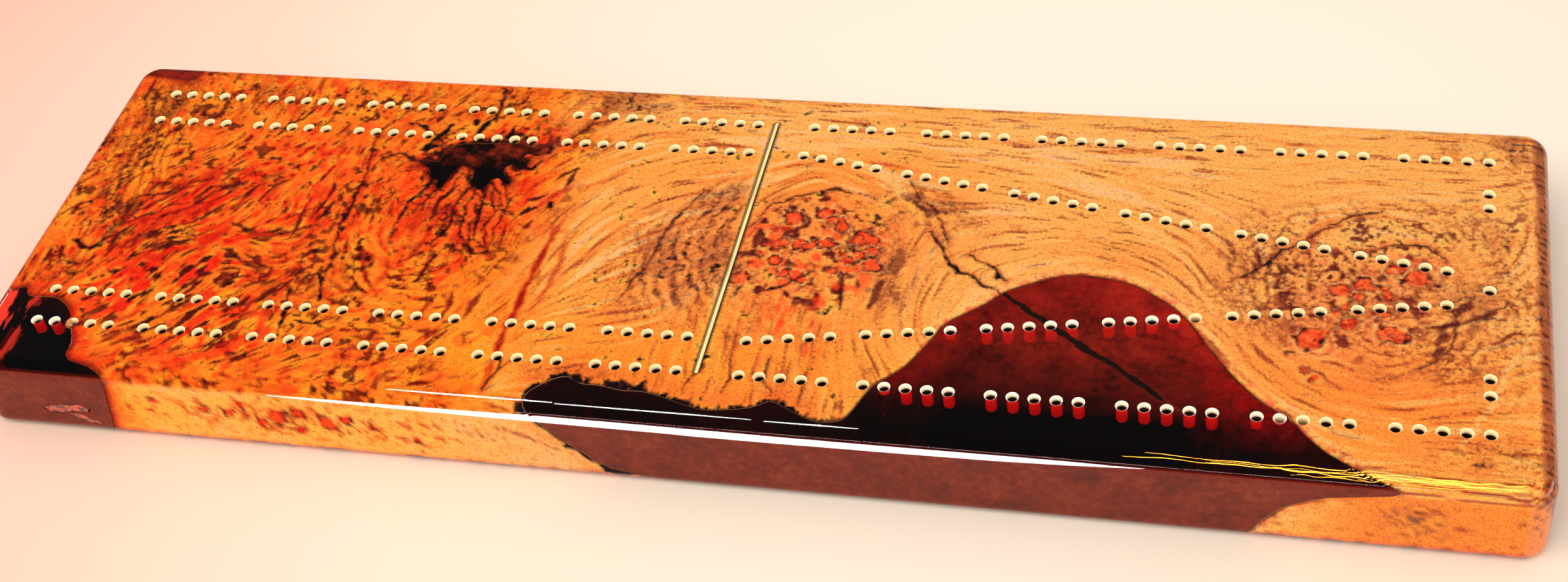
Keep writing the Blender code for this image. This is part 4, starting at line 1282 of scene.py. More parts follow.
def paint_cracks():
    """Red-brown streaks, then wavering cracks with a brown halo."""
    for path, width, strength in STREAKS:
        dist, part = line_distance(spline(rows(path), 30), 8)
        dist = dist + 1.2 * fractal(4, 2, 26)
        taper = np.sin(np.clip(part, 0.05, 0.95) * math.pi) ** 0.5
        lay((158, 40, 14), fade(np.maximum(dist, 0), width) * strength * taper)
    grid = (SHEET_X + WOBBLE_X, SHEET_Y + WOBBLE_Y)
    for path, width, strength in CRACKS:
        points = rows(path)
        dist, part = line_distance(spline(points, 8 * len(points)), 5, grid)
        taper = np.sin(np.clip(part, 0.02, 0.98) * math.pi) ** 0.4
        line = 1 - smooth(dist, width * 0.5 * taper, width * taper + 0.25)
        lay((120, 52, 22), fade(dist, 1.8) * 0.35 * strength)
        lay((26, 10, 7), line * strength)
    dist = SHEET_X + 0.22 * SHEET_Y + 2.6 * fractal(9, 3, 98)
    arcs = smooth(np.sin(dist * 1.9) + 0.4 * fractal(2.2, 2, 99) + 0.25 * FINE, 0.25, 0.95)
    lay((122, 58, 24), arcs * np.clip(1.1 * blob(-222, 32, 12, 34, 8), 0, 1) * 0.60)


def paint_live_edge():
    """A charred, fuzzy bark line on the wood side of the river."""
    dist, _ = line_distance(pool_uv(RIVER.wood_edge)[::2], 16)
    zone = smooth(SHEET_X, -62, -50) * (1 - smooth(SHEET_X, 30, 50))
    reach = 1.1 + 3.6 * np.clip(fractal(6, 2, 29) + 0.15, 0, 1) \
        + 1.9 * fractal(1.5, 3, 30) + 0.35 * FIGURE
    bark = (1 - smooth(dist, reach * 0.85, reach * 1.1)) * zone
    lay((6, 3, 2), bark)
    lay((150, 56, 20), fade(dist, 6.5) * zone * 0.40 * (1 - bark))
    lay((40, 18, 10), (1 - smooth(dist, 0.25, 0.8)) * 0.85)
    lay((255, 190, 110), fade(dist - 2.2, 1.4) * smooth(SHEET_X, 56, 74) * 0.35)
    red = fade(dist, 3.0) * smooth(SHEET_X, 50, 66) * smooth(fractal(1.6, 3, 31), 0.0, 0.4)
    lay((196, 84, 50), red * 0.6)
    for pour in POURS[1:]:
        dist, _ = line_distance(pool_uv(pour.wood_edge)[::2], 10)
        lay((70, 26, 14), fade(dist, 1.6) * 0.8)
        lay((170, 46, 18), fade(dist, 5.0) * 0.4)


def paint_round_knot():
    dist, _ = line_distance(np.vstack([knot_void, knot_void[:1]]), 14)
    lay((120, 36, 16), fade(dist, 3.2 + 2 * fractal(5, 2, 32)) * 0.75)
    lay((20, 8, 6), (1 - smooth(dist + 1.1 * fractal(2.2, 2, 33), 0.5, 1.6)) * 0.95)
    ragged = fade(dist, 9) * (0.6 + fractal(3, 3, 34) + 0.3 * MEDIUM)
    lay((30, 10, 7), smooth(ragged, 0.75, 1.0) * 0.8)


def paint_sides():
    right = smooth(SHEET_X, FLAT_X - 1.0, FLAT_X + 1.5)
    lay((120, 60, 34), right * 0.65)
    bands = fractal(1.2, 3, 35) + 0.4 * np.sin(SHEET_Y * 3.0)
    lay((60, 28, 16), right * smooth(bands, 0.1, 0.6) * 0.6)
    lay((96, 44, 22), smooth(-SHEET_X, FLAT_X + 0.5, FLAT_X + 3.5) * 0.55)
    lay((246, 136, 56), FRONT * smooth(SHEET_X, 150, 200) * 0.95)
    patch = blob(206, -87, 11, 9, -30) * smooth(fractal(1.2, 2, 36), -0.2, 0.3)
    lay((150, 92, 52), FRONT * patch * 0.9)
    waves = np.sin(SHEET_Y * 2.3 + 0.05 * SHEET_X + 2.2 * fractal(10, 3, 100))
    zone = smooth(-SHEET_Y, FLAT_Y - 2.5, FLAT_Y) * smooth(SHEET_X, 186, 198)
    zone = zone * (1 - smooth(-SHEET_Y, FLAT_Y + 6, FLAT_Y + 8))
    lay((150, 48, 14), smooth(waves, 0.35, 0.9) * zone * 0.75)
    # painted shade: the bottom roundover of the front side is darkened
    lay((120, 34, 16), FOOT_SHADE * (0.45 + 0.5 * smooth(fractal(3, 2, 37), -0.2, 0.4)))


def paint_arcs():
    """Dark arcs beside the skunk line and the clusters."""
    dist = np.hypot(SHEET_X - 22, (SHEET_Y - 2) * 0.9) + 3.4 * fractal(7, 3, 70)
    waves = np.sin(dist * 1.45 + 0.7 * FIGURE) + 0.30 * fractal(2.6, 3, 71) + 0.25 * FINE
    zone = 1.25 * np.maximum(blob(-19, -8, 14, 19, 20), 0.8 * blob(-11, 13, 10, 13))
    zone = np.clip(zone, 0, 1)
    lay((176, 96, 50), zone * 0.40)
    crumb = 0.30 + 0.70 * smooth(fractal(1.1, 3, 95) + 0.3 * FINE, -0.25, 0.3)
    lay((78, 34, 16), smooth(waves, 0.0, 0.8) * zone * crumb * 0.85)
    dist = np.hypot(SHEET_X - 187, SHEET_Y + 3) + 1.8 * fractal(6, 2, 72)
    waves = np.sin(dist * 1.7 + 1.2 * FIGURE) + 0.5 * fractal(2.0, 3, 73)
    zone = np.maximum(blob(161, 2, 8, 18, 15), 0.8 * blob(214, -20, 8, 16, -20))
    lay((92, 38, 16), smooth(waves, 0.4, 1.1) * zone * 0.75)
    zone = np.maximum(blob(52, 22, 12, 7, -30), 0.7 * blob(50, -6, 5, 16, 10))
    lay((96, 44, 20), smooth(fractal(2.6, 3, 75) + 0.25 * FIGURE, 0.05, 0.4) * zone * 0.75)


def paint_flaps():
    """Curled flaps round the knot, and dark lenses on the left."""
    flap = np.clip(blob(-96, 8, 20, 15, 0) + 0.8 * blob(-120, 22, 10, 12)
                   + 0.7 * blob(-80, 46, 14, 6), 0, 1)
    field = fractal(6.5, 3, 76) + 0.10 * MEDIUM
    fold = 1 - smooth(np.abs(field), 0.015, 0.065)
    small_fold = 1 - smooth(np.abs(fractal(4.2, 3, 77) + 0.08 * FIGURE + 0.12), 0.01, 0.05)
    lay((244, 84, 28), flap * smooth(field, 0.02, 0.25) * 0.7)
    lay((150, 34, 14), flap * smooth(-field, 0.05, 0.3) * 0.7)
    lay((40, 10, 5), flap * np.maximum(fold, small_fold * 0.8) * 0.9)
    lens = smooth(fractal(2.6, 2, 78) + 0.22 * FIGURE + 0.10 * MEDIUM, 0.30, 0.46)
    zone = np.clip(blob(-196, -14, 9, 6, 40) + blob(-156, 37, 4, 4) + 0.8 * blob(-158, 24, 3, 2)
                   + blob(-139, -40, 6, 10) + 0.7 * blob(-130, -45, 8, 3)
                   + 0.7 * blob(-152, -36, 8, 5, 40), 0, 1)
    lay((24, 6, 4), lens * zone * 0.9)


# dark figure strokes: x y along each, half width, strength, colour
BRUSH = [
    ("32.3 -8.3, 33.9 -14.8, 35.4 -23.6", 1.0, 0.75, (88, 36, 16)),
    ("38.3 -9.4, 38.9 -14.3", 0.9, 0.7, (88, 36, 16)),
    ("45.8 -11.2, 44.4 -17.9, 44.4 -22.7", 1.6, 0.7, (96, 40, 18)),
    ("3.1 -16, 1.3 -21.2, -0.1 -22.9", 0.9, 0.8, (60, 22, 10)),
    ("-64.6 31.3, -67.7 28.8, -71.1 24.9", 0.9, 0.8, (84, 34, 16)),
    ("-65.2 29, -65.4 25.4, -66.4 22.2", 0.9, 0.8, (84, 34, 16)),
    ("-71.1 18.8, -74.3 16.7, -77.5 14.7", 0.8, 0.8, (70, 26, 12)),
    ("-72.6 13.4, -75.2 11.4, -78.1 8.6", 1.0, 0.85, (60, 22, 10)),
    ("-70.5 14.9, -68.4 12.9", 1.5, 0.85, (50, 16, 8)),
    ("-75.4 2, -73.9 3.4, -73.4 5.6", 1.1, 0.8, (120, 34, 14)),
    ("-99.5 -12.8, -101.2 -17.1, -102.3 -23, -103.3 -25.5", 0.9, 0.85, (70, 18, 8)),
    ("-88 -28.1, -88.5 -33.8, -89.1 -39.4", 1.2, 0.7, (130, 48, 20)),
    ("-79 -27.3, -80.2 -33, -81.4 -38.6", 1.5, 0.7, (130, 48, 20)),
    ("-94 -29, -95 -35, -96 -41", 1.2, 0.6, (130, 48, 20)),
    ("-125.7 -13, -120.9 -21.2, -116.2 -29.4", 0.9, 0.75, (150, 46, 20)),
    ("-100.9 -10.7, -102.9 -23.9", 0.9, 0.6, (110, 30, 12)),
    ("-151.7 7.3, -152.1 -0.4, -151.9 -9.4", 0.8, 0.8, (64, 20, 10)),
    ("-146.3 17.1, -146.7 9.3, -147.7 3", 0.8, 0.8, (64, 20, 10)),
    ("-135.9 -24.1, -133.2 -29.6, -131.9 -35.8", 0.7, 0.95, (24, 8, 5)),
    ("-143.5 -27.7, -148.2 -32.4, -151.9 -37, -155 -42.9", 1.5, 0.75, (70, 22, 10)),
    ("-142.9 -31.9, -140.1 -44.3, -139.5 -51.1", 1.2, 0.85, (34, 10, 6)),
    ("-136.6 -44.6, -130.8 -45.4, -125.1 -46.3", 0.7, 0.9, (34, 10, 6)),
    ("-176.1 -4, -167.8 -7.1, -160.3 -8.6, -153.1 -6.5, -147.6 -3", 1.3, 0.7, (84, 34, 16)),
    ("-228.2 -16.2, -220.4 -20, -214.1 -13.4, -209.4 -8.4", 1.2, 0.85, (44, 16, 8)),
    ("-209 -8, -199 -2, -190 3, -182 10", 1.3, 0.7, (70, 18, 8)),
    ("-212 -2, -204 6, -196 12", 1.0, 0.6, (90, 26, 12)),
    ("-233.6 60, -224.7 43.4, -221.4 25.4, -225.9 8.9, -217.1 -4.5, -214.6 -15",
     5.0, 0.75, (92, 46, 20)),
    ("-168 52, -172 46, -176 40", 0.7, 0.7, (40, 14, 8)),
    ("220.1 -0.1, 214.8 -9.3, 210.9 -17.3, 209.3 -25.8", 2.0, 0.75, (96, 40, 20)),
    ("229 -4, 222 -9, 214 -13, 206 -14", 1.2, 0.65, (90, 38, 18)),
    ("233.9 -14, 230 -15.4, 224.7 -19.2", 0.6, 0.7, (120, 50, 24)),
    ("153 1, 158 5", 0.6, 0.7, (40, 18, 10)),
    ("148 18, 150 10, 150 0, 153 -10", 1.4, 0.45, (96, 48, 24)),
    ("156 20, 157 10, 157 -4, 160 -16", 1.2, 0.45, (96, 48, 24)),
    ("163 16, 164 4, 165 -8", 1.0, 0.40, (96, 48, 24)),
    # arms of the knot
    ("-114.8 49.6, -117.4 43.6, -119.9 40, -122.6 35.6", 1.5, 1.0, (14, 5, 4)),
    ("-122.3 35.5, -119 37.4, -115.4 38.2", 1.1, 1.0, (14, 5, 4)),
    ("-92.4 50.5, -92.6 46, -92.4 42", 1.1, 1.0, (14, 5, 4)),
    ("-95 42.5, -91.5 46.5, -87.5 44.4, -84 41", 1.2, 0.95, (14, 5, 4)),
    ("-107.4 52, -106 49", 1.3, 0.95, (20, 7, 5)),
    ("-102.6 51.7, -103.7 47.4, -104.8 42", 1.3, 1.0, (14, 5, 4)),
    ("-115 31, -113.6 21.4, -115.1 15.1, -117.4 10.5, -117.6 3.5, -118.6 -2",
     0.7, 0.95, (24, 8, 5)),
    ("-93 16.9, -91.9 11.7, -91.3 4.9, -90 -1.9", 0.7, 0.95, (30, 8, 5)),
    ("-110 17, -112 12, -112 6", 0.7, 0.7, (60, 16, 8)),
    ("-104 26, -105 18, -107 10, -106 2", 0.7, 0.75, (50, 14, 8)),
    ("-99 18, -101 10, -100 2, -102 -5", 0.7, 0.75, (50, 14, 8)),
    ("-93 -7, -88.7 -9.6, -84.7 -10.2", 0.7, 0.8, (60, 10, 6)),
]
# x y along the long curl below the knot, and along the pale line at the right
CURL = rows("""
    -93.1 23.1, -90.8 24.2, -87.6 19.1, -84.4 12.4, -85.2 8.8, -85.1 4.6,
    -85.9 1.1, -84.9 -4.8, -85.1 -9, -88.1 -7.6, -91.6 -4.5, -94.5 1.2,
    -94 6.4, -95.7 11.4, -94.9 15, -95.2 17.6""")
PALE_LINE = rows("234.5 -18.6, 229.9 -26.5, 226.5 -37.6, 221.4 -47.9, 216.9 -57.9")


def paint_strokes():
    grid = (SHEET_X + 0.7 * WOBBLE_X + 0.5 * fractal(1.8, 2, 79),
            SHEET_Y + 0.7 * WOBBLE_Y + 0.5 * fractal(1.8, 2, 80))
    crumb = smooth(fractal(1.1, 2, 83) + 0.25 * FINE, -0.15, 0.45)
    for path, width, share, colour in BRUSH:
        points = rows(path)
        dist, part = line_distance(spline(points, 8 * len(points)), 7, grid)
        if width > 3 or share < 0.5:
            share = share * (0.25 + 1.1 * crumb)
        taper = np.sin(np.clip(part, 0.03, 0.97) * math.pi) ** 0.5
        line = smooth(dist + 0.25 * width * MEDIUM, width * 0.45 * taper, width * taper + 0.3)
        lay(colour, (1 - line) * share)
    dist, _ = line_distance(spline(CURL, 120), 6, grid)
    dist = dist * (1 + 0.5 * fractal(3, 2, 84))
    lay((60, 12, 6), fade(dist - 1.45, 0.42) * 0.85)
    lay((240, 92, 36), (1 - smooth(dist, 0.6, 1.1)) * 0.7)
    dist, _ = line_distance(spline(PALE_LINE, 40), 6, grid)
    lay((255, 190, 110), (1 - smooth(dist, 0.4, 1.2)) * 0.5)
    # the skunk line's slot is edged dark
    dist, _ = line_distance([(SKUNK_X, SKUNK_Y0), (SKUNK_X, SKUNK_Y1)], 4)
    lay((40, 18, 10), 1 - smooth(dist, SKUNK_W / 2 + 0.35, SKUNK_W / 2 + 0.75))


def paint_fibre():
    """Fine fibres over everything, and deep red at the left."""
    fibre = smooth(-(0.95 * FINE + 0.35 * MEDIUM) + 1.3 * fractal(6, 2, 85), 0.75, 1.7)
    lay((86, 20, 8),
        fibre * LEFT * (0.60 + 0.3 * blob(-185, -25, 50, 30)) * (1 - FOOT_SHADE) * SIDE_CALM)
    smut = smooth(fractal(2.2, 3, 89) + 0.55 * fractal(9, 2, 90) + 0.10 * FINE, 0.26, 0.40)
    lay((40, 12, 6),
        smut * LEFT * 0.55 * SIDE_CALM * smooth(fractal(20, 2, 92) + 0.1, -0.1, 0.3))
    lay((150, 60, 24), smooth(fractal(12, 3, 93), 0.05, 0.45) * LEFT * 0.30 * SIDE_CALM)
    fibre = smooth((0.95 * FINE - 0.25 * MEDIUM) + 1.0 * fractal(8, 2, 86), 0.9, 2.0)
    lay((253, 164, 76), fibre * LEFT * 0.40 * SIDE_CALM)
    deep = np.clip(blob(-185, -24, 40, 22, 30) + 0.6 * blob(-195, 5, 26, 12, 35)
                   + 0.8 * blob(-160, -50, 44, 14), 0, 1)
    red = smooth(MEDIUM + 0.6 * WIDE + 2.0 * fractal(7, 3, 87), -0.4, 1.1)
    lay((196, 42, 14), deep * LEFT * red * 0.75)
    streaks = smooth(-(0.5 * FINE + 0.8 * MEDIUM) + 1.6 * fractal(5, 3, 94), 0.25, 0.95)
    lay((64, 12, 6), deep * LEFT * streaks * 0.82 * SIDE_CALM)
    fibre = smooth(-(0.9 * FINE + 0.5 * MEDIUM) + 1.2 * fractal(10, 2, 88), 1.1, 2.2)
    lay((150, 72, 34), fibre * (1 - LEFT) * 0.60 * (1 - FOOT_SHADE))


def local_mean(image, reach=7):
    for axis, pad in ((0, ((reach, reach), (0, 0), (0, 0))),
                      (1, ((0, 0), (reach, reach), (0, 0)))):
        total = np.cumsum(np.pad(image, pad, mode="edge"), axis=axis, dtype=np.float64)
        total = np.moveaxis(total, axis, 0)
        image = np.moveaxis((total[2 * reach:] - total[:-2 * reach]) / (2 * reach), 0, axis)
    return image.astype(np.float32)


def to_linear(colour):
    return np.where(colour <= 0.04045, colour / 12.92, ((colour + 0.055) / 1.055) ** 2.4)


def deepen(paint):
    """Local contrast, a warmer, cleaner colour and painted light that brightens the front side;
    returns it linear.
    """
    mean = local_mean(paint)
    detail = paint - mean
    paint = mean + np.where(detail > 0, detail * 1.30, detail * 1.45)
    mean = local_mean(paint, 2)
    paint = mean + (paint - mean) * 1.5
    grey = paint.mean(2, keepdims=True)
    saturation = 1.10 + 0.16 * LEFT + 0.06 * smooth(-SHEET_Y, 10, 50)
    paint = grey + (paint - grey) * saturation[..., None]
    paint[..., 1] -= 0.02 * LEFT
    paint[..., 2] += 0.045 * (1 - LEFT)
    # painted light: the front side is brightened, more towards the left
    paint = paint * (1 + (0.04 + 0.08 * smooth(-SHEET_X, 40, 120)) * FRONT)[..., None]
    paint = paint * (1 + 0.04 * (1 - LEFT) * (1 - FRONT))[..., None]
    paint = np.clip(paint, 0.012, 1)
    # dark marks stay brown, never olive
    green_limit = paint[..., 0] * (0.72 - 0.13 * LEFT * (1 - FRONT)) + 0.004
    paint[..., 1] = np.minimum(paint[..., 1], green_limit)
    paint[..., 2] = np.maximum(paint[..., 2], paint[..., 1] * 0.22)
    return to_linear(paint)


for layer in (paint_ground, paint_grain, paint_burl, paint_spalting, paint_clusters,
              paint_front, paint_eyes):
    layer()
UNDERSIDE_COLOUR = deepen(PAINT)  # without the marks of the top face
for layer in (paint_cracks, paint_live_edge, paint_round_knot, paint_sides, paint_arcs,
              paint_flaps, paint_strokes, paint_fibre):
    layer()
SKIN_COLOUR = deepen(PAINT)


def sheet_sample(field, points):
    return bilinear(field, (points[:, 0] - SHEET_LOW[0]) / SHEET_CELL - 0.5,
                    (points[:, 1] - SHEET_LOW[1]) / SHEET_CELL - 0.5)


# ================================================================ materials
def lin(red, green, blue):
    return tuple(float(v) for v in to_linear(np.array([red, green, blue]) / 255.0))


class Shader:
    """A node material; values may be sockets, numbers or colour tuples."""

    def __init__(self, name):
        self.material = bpy.data.materials.new(name)
        self.material.use_nodes = True
        self.tree = self.material.node_tree
        self.bsdf = self.tree.nodes["Principled BSDF"]
        self.output = self.tree.nodes["Material Output"]

    def node(self, kind, **settings):
        node = self.tree.nodes.new(kind)
        for key, value in settings.items():
            setattr(node, key, value)
        return node

    def feed(self, value, socket):
        if hasattr(value, "is_linked"):
            self.tree.links.new(value, socket)
        else:
            socket.default_value = (*value, 1.0) if isinstance(value, tuple) else value

    def surface(self, **inputs):
        """Feeds the BSDF: base_color goes to its Base Color, and so on."""
        for key, value in inputs.items():
            name = key.replace("_", " ").title().replace("Ior", "IOR")
            self.feed(value, self.bsdf.inputs[name])

    def noise(self, scale, detail, rough, stretch=None):
        node = self.node("ShaderNodeTexNoise")
        for key, value in (("Scale", scale), ("Detail", detail), ("Roughness", rough)):
            node.inputs[key].default_value = value
        place = self.node("ShaderNodeTexCoord").outputs["Object"]
        if stretch:
            mapping = self.node("ShaderNodeMapping")
            mapping.inputs["Scale"].default_value = stretch
            self.feed(place, mapping.inputs["Vector"])
            place = mapping.outputs["Vector"]
        self.feed(place, node.inputs["Vector"])
        return node.outputs["Fac"]

    def ramp(self, factor, stops):
        node = self.node("ShaderNodeValToRGB")
        elements = node.color_ramp.elements
        while len(elements) < len(stops):
            elements.new(0.5)
        for element, (position, colour) in zip(elements, stops):
            element.position = position
            element.color = (*colour, 1.0)
        self.feed(factor, node.inputs["Fac"])
        return node.outputs["Color"]

    def mix(self, first, second, factor, mode="MIX"):
        node = self.node("ShaderNodeMix", data_type="RGBA", blend_type=mode)
        self.feed(first, node.inputs[6])
        self.feed(second, node.inputs[7])
        self.feed(factor, node.inputs[0])
        return node.outputs[2]

    def remap(self, value, source, target=(0.0, 1.0)):
        node = self.node("ShaderNodeMapRange")
        for key, number in zip(("From Min", "From Max", "To Min", "To Max"), source + target):
            node.inputs[key].default_value = number
        self.feed(value, node.inputs["Value"])
        return node.outputs["Result"]

    def maths(self, operation, *values):
        node = self.node("ShaderNodeMath", operation=operation)
        for k, value in enumerate(values):
            self.feed(value, node.inputs[k])
        return node.outputs[0]

    def times(self, first, second):
        return self.maths("MULTIPLY", first, second)

    def axes(self, kind="ShaderNodeTexCoord", output="Object"):
        """X, Y and Z of a node's vector; object coordinates by default."""
        split = self.node("ShaderNodeSeparateXYZ")
        self.feed(self.node(kind).outputs[output], split.inputs["Vector"])
        return split.outputs

    def bump(self, height, strength, distance, target="Normal"):
        node = self.node("ShaderNodeBump")
        node.inputs["Strength"].default_value = strength
        node.inputs["Distance"].default_value = distance
        self.feed(height, node.inputs["Height"])
        self.feed(node.outputs["Normal"], self.bsdf.inputs[target])


def wood_material():
    """The painted burl under a clear coat, with fine specks and dark pores."""
    shader = Shader("burl_wood_gloss")
    paint = shader.node("ShaderNodeAttribute", attribute_name="paint").outputs["Color"]
    fine = shader.noise(scale=1500.0, detail=4.0, rough=0.65)
    speck = shader.ramp(shader.remap(fine, (0.35, 0.65)), [
        (0.0, (0.62, 0.54, 0.46)), (0.5, (1.0, 1.0, 1.0)), (1.0, (1.15, 1.14, 1.10))])
    colour = shader.mix(paint, speck, 0.85, "MULTIPLY")
    pores = shader.noise(scale=900.0, detail=2.0, rough=0.5, stretch=(0.35, 1.0, 1.0))
    dots = shader.ramp(pores, [(0.0, (0.45, 0.30, 0.22)), (0.30, (0.62, 0.48, 0.40)),
                               (0.38, (1.0, 1.0, 1.0)), (1.0, (1.0, 1.0, 1.0))])
    colour = shader.mix(colour, dots, 0.55, "MULTIPLY")
    # the long front side has little coat
    normal = shader.axes("ShaderNodeNewGeometry", "Normal")
    front = shader.remap(normal["Y"], (-0.985, -1.0))
    shader.surface(base_color=colour, roughness=0.42, specular_ior_level=0.0,
                   coat_weight=shader.remap(front, (0.0, 1.0), (1.0, 0.20)),
                   coat_roughness=0.025, coat_ior=1.5)
    shader.bump(fine, strength=0.08, distance=0.0002)
    wave = shader.noise(scale=22.0, detail=2.0, rough=0.5)
    shader.bump(wave, strength=0.10, distance=0.0006, target="Coat Normal")
    return shader.material


def bore_material(name, rim, deep, glow, behind=None):
    """A drilled wall: its rim glows as painted light, emitted though it is no lamp,
    and it darkens below as painted shade; behind is its colour seen from inside the resin."""
    shader = Shader(name)
    depth = shader.remap(shader.axes()["Z"], ((THICK - 2.15) * MM, (THICK - 0.1) * MM))
    between = tuple(0.6 * a + 0.4 * b for a, b in zip(rim, deep))
    # painted shade: the wall darkens from the rim colour to the deep colour down the hole
    colour = shader.ramp(depth, [(0.0, deep), (0.28, between), (0.5, rim), (1.0, rim)])
    grit = shader.noise(scale=2600.0, detail=3.0, rough=0.6)
    if behind:
        backfacing = shader.node("ShaderNodeNewGeometry").outputs["Backfacing"]
        colour = shader.mix(colour, behind, backfacing)
    shade = shader.ramp(grit, [(0.3, (0.8, 0.8, 0.8)), (0.7, (1.1, 1.1, 1.1))])
    colour = shader.mix(colour, shade, 0.6, "MULTIPLY")
    # painted light: the wall emits its own colour, by glow
    shader.surface(base_color=colour, roughness=0.5, emission_color=colour,
                   emission_strength=glow)
    shader.bump(grit, strength=0.3, distance=0.0002)
    return shader.material


def bare_wood_material():
    shader = Shader("burl_bare")
    grain = shader.noise(scale=140.0, detail=4.0, rough=0.6, stretch=(0.15, 1.0, 1.0))
    colour = shader.ramp(grain, [(0.3, lin(150, 84, 38)), (0.5, lin(206, 138, 74)),
                                 (0.7, lin(228, 172, 108))])
    shader.surface(base_color=colour, roughness=0.7)
    shader.bump(grain, strength=0.3, distance=0.0004)
    return shader.material


def resin_skin(name, milk, line_strength, licks=False):
    """Clear, tinted casting resin: gloss outside, absorbing inside. The top
    face is faintly milky and the long side more opaque; a dark line
    crosses the river, and licks haze the left end of the front corner."""
    shader = Shader(name)
    maths, times, remap = shader.maths, shader.times, shader.remap
    normal = shader.axes("ShaderNodeNewGeometry", "True Normal")
    side = remap(normal["Y"], (-0.80, -1.0))
    facing_up = remap(normal["Z"], (0.90, 1.0))
    place = shader.axes()
    back = remap(place["Y"], (-0.058, -0.032))
    right = remap(place["X"], (0.068, 0.118), (0.65, 1.0))
    swirl = shader.noise(scale=70.0, detail=5.0, rough=0.65)
    fine = shader.noise(scale=420.0, detail=3.0, rough=0.6)
    cloud = remap(maths("MULTIPLY_ADD", fine, 0.35, times(swirl, 0.8)),
                  (0.42, 0.74), (0.12, 1.0))
    # the dark line: distance across a slanting line, wavered by the swirl
    across = maths("MULTIPLY_ADD", place["X"], 0.579, times(place["Y"], 0.815))
    waver = maths("MULTIPLY_ADD", swirl, 0.006, -0.0028)
    gap = maths("ABSOLUTE", maths("SUBTRACT", maths("ADD", across, waver), 0.0386), 0.0)
    dark_line = remap(gap, (0.0004, 0.0012), (1.0, 0.0))
    dark_line = times(dark_line, remap(place["X"], (0.080, 0.084)))
    dark_line = times(dark_line, remap(place["X"], (0.128, 0.142), (1.0, 0.0)))
    dark_line = times(dark_line, times(facing_up, line_strength))
    haze = times(times(times(facing_up, back), times(right, cloud)), milk)
    if licks:
        lick = shader.noise(scale=150.0, detail=3.0, rough=0.6, stretch=(1.0, 0.28, 1.0))
        lick = times(remap(lick, (0.50, 0.56)), remap(place["X"], (-0.234, -0.222), (1.0, 0.0)))
        haze = maths("ADD", haze, times(times(lick, facing_up), 1.0))
    cover = maths("ADD", times(side, 0.40), maths("MAXIMUM", haze, dark_line))
    flank = shader.ramp(maths("MULTIPLY_ADD", fine, 0.5, times(swirl, 0.5)), [
        (0.36, (0.22, 0.018, 0.005)), (0.50, (0.42, 0.034, 0.010)),
        (0.64, (0.60, 0.075, 0.022))])
    colour = shader.mix((1.0, 0.045, 0.02), flank, side)
    colour = shader.mix(colour, (0.010, 0.004, 0.002), remap(dark_line, (0.0, 0.5)))
    shader.surface(base_color=colour, roughness=0.015, ior=1.5,
                   transmission_weight=maths("SUBTRACT", 1.0, cover),
                   specular_ior_level=remap(side, (0.3, 1.0), (0.5, 0.0)))
    wave = shader.noise(scale=24.0, detail=2.0, rough=0.5)
    shader.bump(wave, strength=0.06, distance=0.0006)
    volume = shader.node("ShaderNodeVolumeAbsorption")
    volume.inputs["Color"].default_value = (0.958, 0.04, 0.02, 1.0)
    volume.inputs["Density"].default_value = 1300.0
    shader.feed(volume.outputs["Volume"], shader.output.inputs["Volume"])
    return shader.material


def resin_bond():
    """Where the resin grips the wood: charred on the left and painted dark as shade
    at the front; clean right of x = 64 mm and behind y = -46 mm."""
    shader = Shader("resin_bond")
    big = shader.noise(scale=150.0, detail=5.0, rough=0.66)
    clean = shader.ramp(big, [(0.34, lin(90, 12, 8)), (0.48, lin(200, 50, 30)),
                              (0.60, lin(250, 150, 100)), (0.72, lin(255, 225, 190))])
    place = shader.axes()
    # share is 0 on the charred left and on the painted shade in front of y = -46 mm
    share = shader.times(shader.remap(place["X"], (0.046, 0.064)),
                         shader.remap(place["Y"], (-0.062, -0.046)))
    char_and_shade = shader.ramp(big, [(0.56, lin(5, 1, 1)), (0.68, lin(50, 6, 4)),
                             (0.78, lin(255, 80, 44))])
    shader.surface(base_color=shader.mix(char_and_shade, clean, share), roughness=0.6)
    shader.bump(big, strength=0.6, distance=0.002)
    return shader.material


def resin_base():
    """The pour's underside, scuffed, and almost black as painted shade where the pour sits on
    the table.
    """
    shader = Shader("resin_base")
    scuff = shader.noise(scale=300.0, detail=4.0, rough=0.6)
    # painted shade: near black for the shade under the board, seen through the resin
    colour = shader.ramp(scuff, [(0.3, lin(12, 3, 2)), (0.7, lin(52, 10, 7))])
    shader.surface(base_color=colour, roughness=0.45)
    shader.bump(scuff, strength=0.2, distance=0.0003)
    return shader.material


def knot_material():
    """Black resin, red-brown towards the back."""
    shader = Shader("black_resin")
    lumps = shader.noise(scale=160.0, detail=5.0, rough=0.65)
    hot = shader.ramp(lumps, [(0.0, lin(10, 3, 3)), (0.42, lin(20, 6, 4)),
                              (0.52, lin(74, 18, 9)), (0.66, lin(140, 40, 18))])
    ink = shader.ramp(lumps, [(0.0, lin(6, 3, 3)), (0.60, lin(10, 4, 4)),
                              (0.75, lin(60, 16, 10))])
    colour = shader.mix(ink, hot, shader.remap(shader.axes()["Y"], (0.0285, 0.0335)))
    shader.surface(base_color=colour, roughness=0.3, specular_ior_level=0.0,
                   coat_weight=0.6, coat_roughness=0.02)
    shader.bump(lumps, strength=0.3, distance=0.0006)
    return shader.material


def chip_material():
    shader = Shader("burl_chip_gloss")
    big = shader.noise(scale=420.0, detail=4.0, rough=0.65)
    colour = shader.ramp(big, [(0.36, lin(20, 14, 18)), (0.46, lin(120, 26, 14)),
                               (0.56, lin(220, 66, 24)), (0.72, lin(246, 124, 56))])
    shader.surface(base_color=colour, roughness=0.3, coat_weight=1.0)
    return shader.material


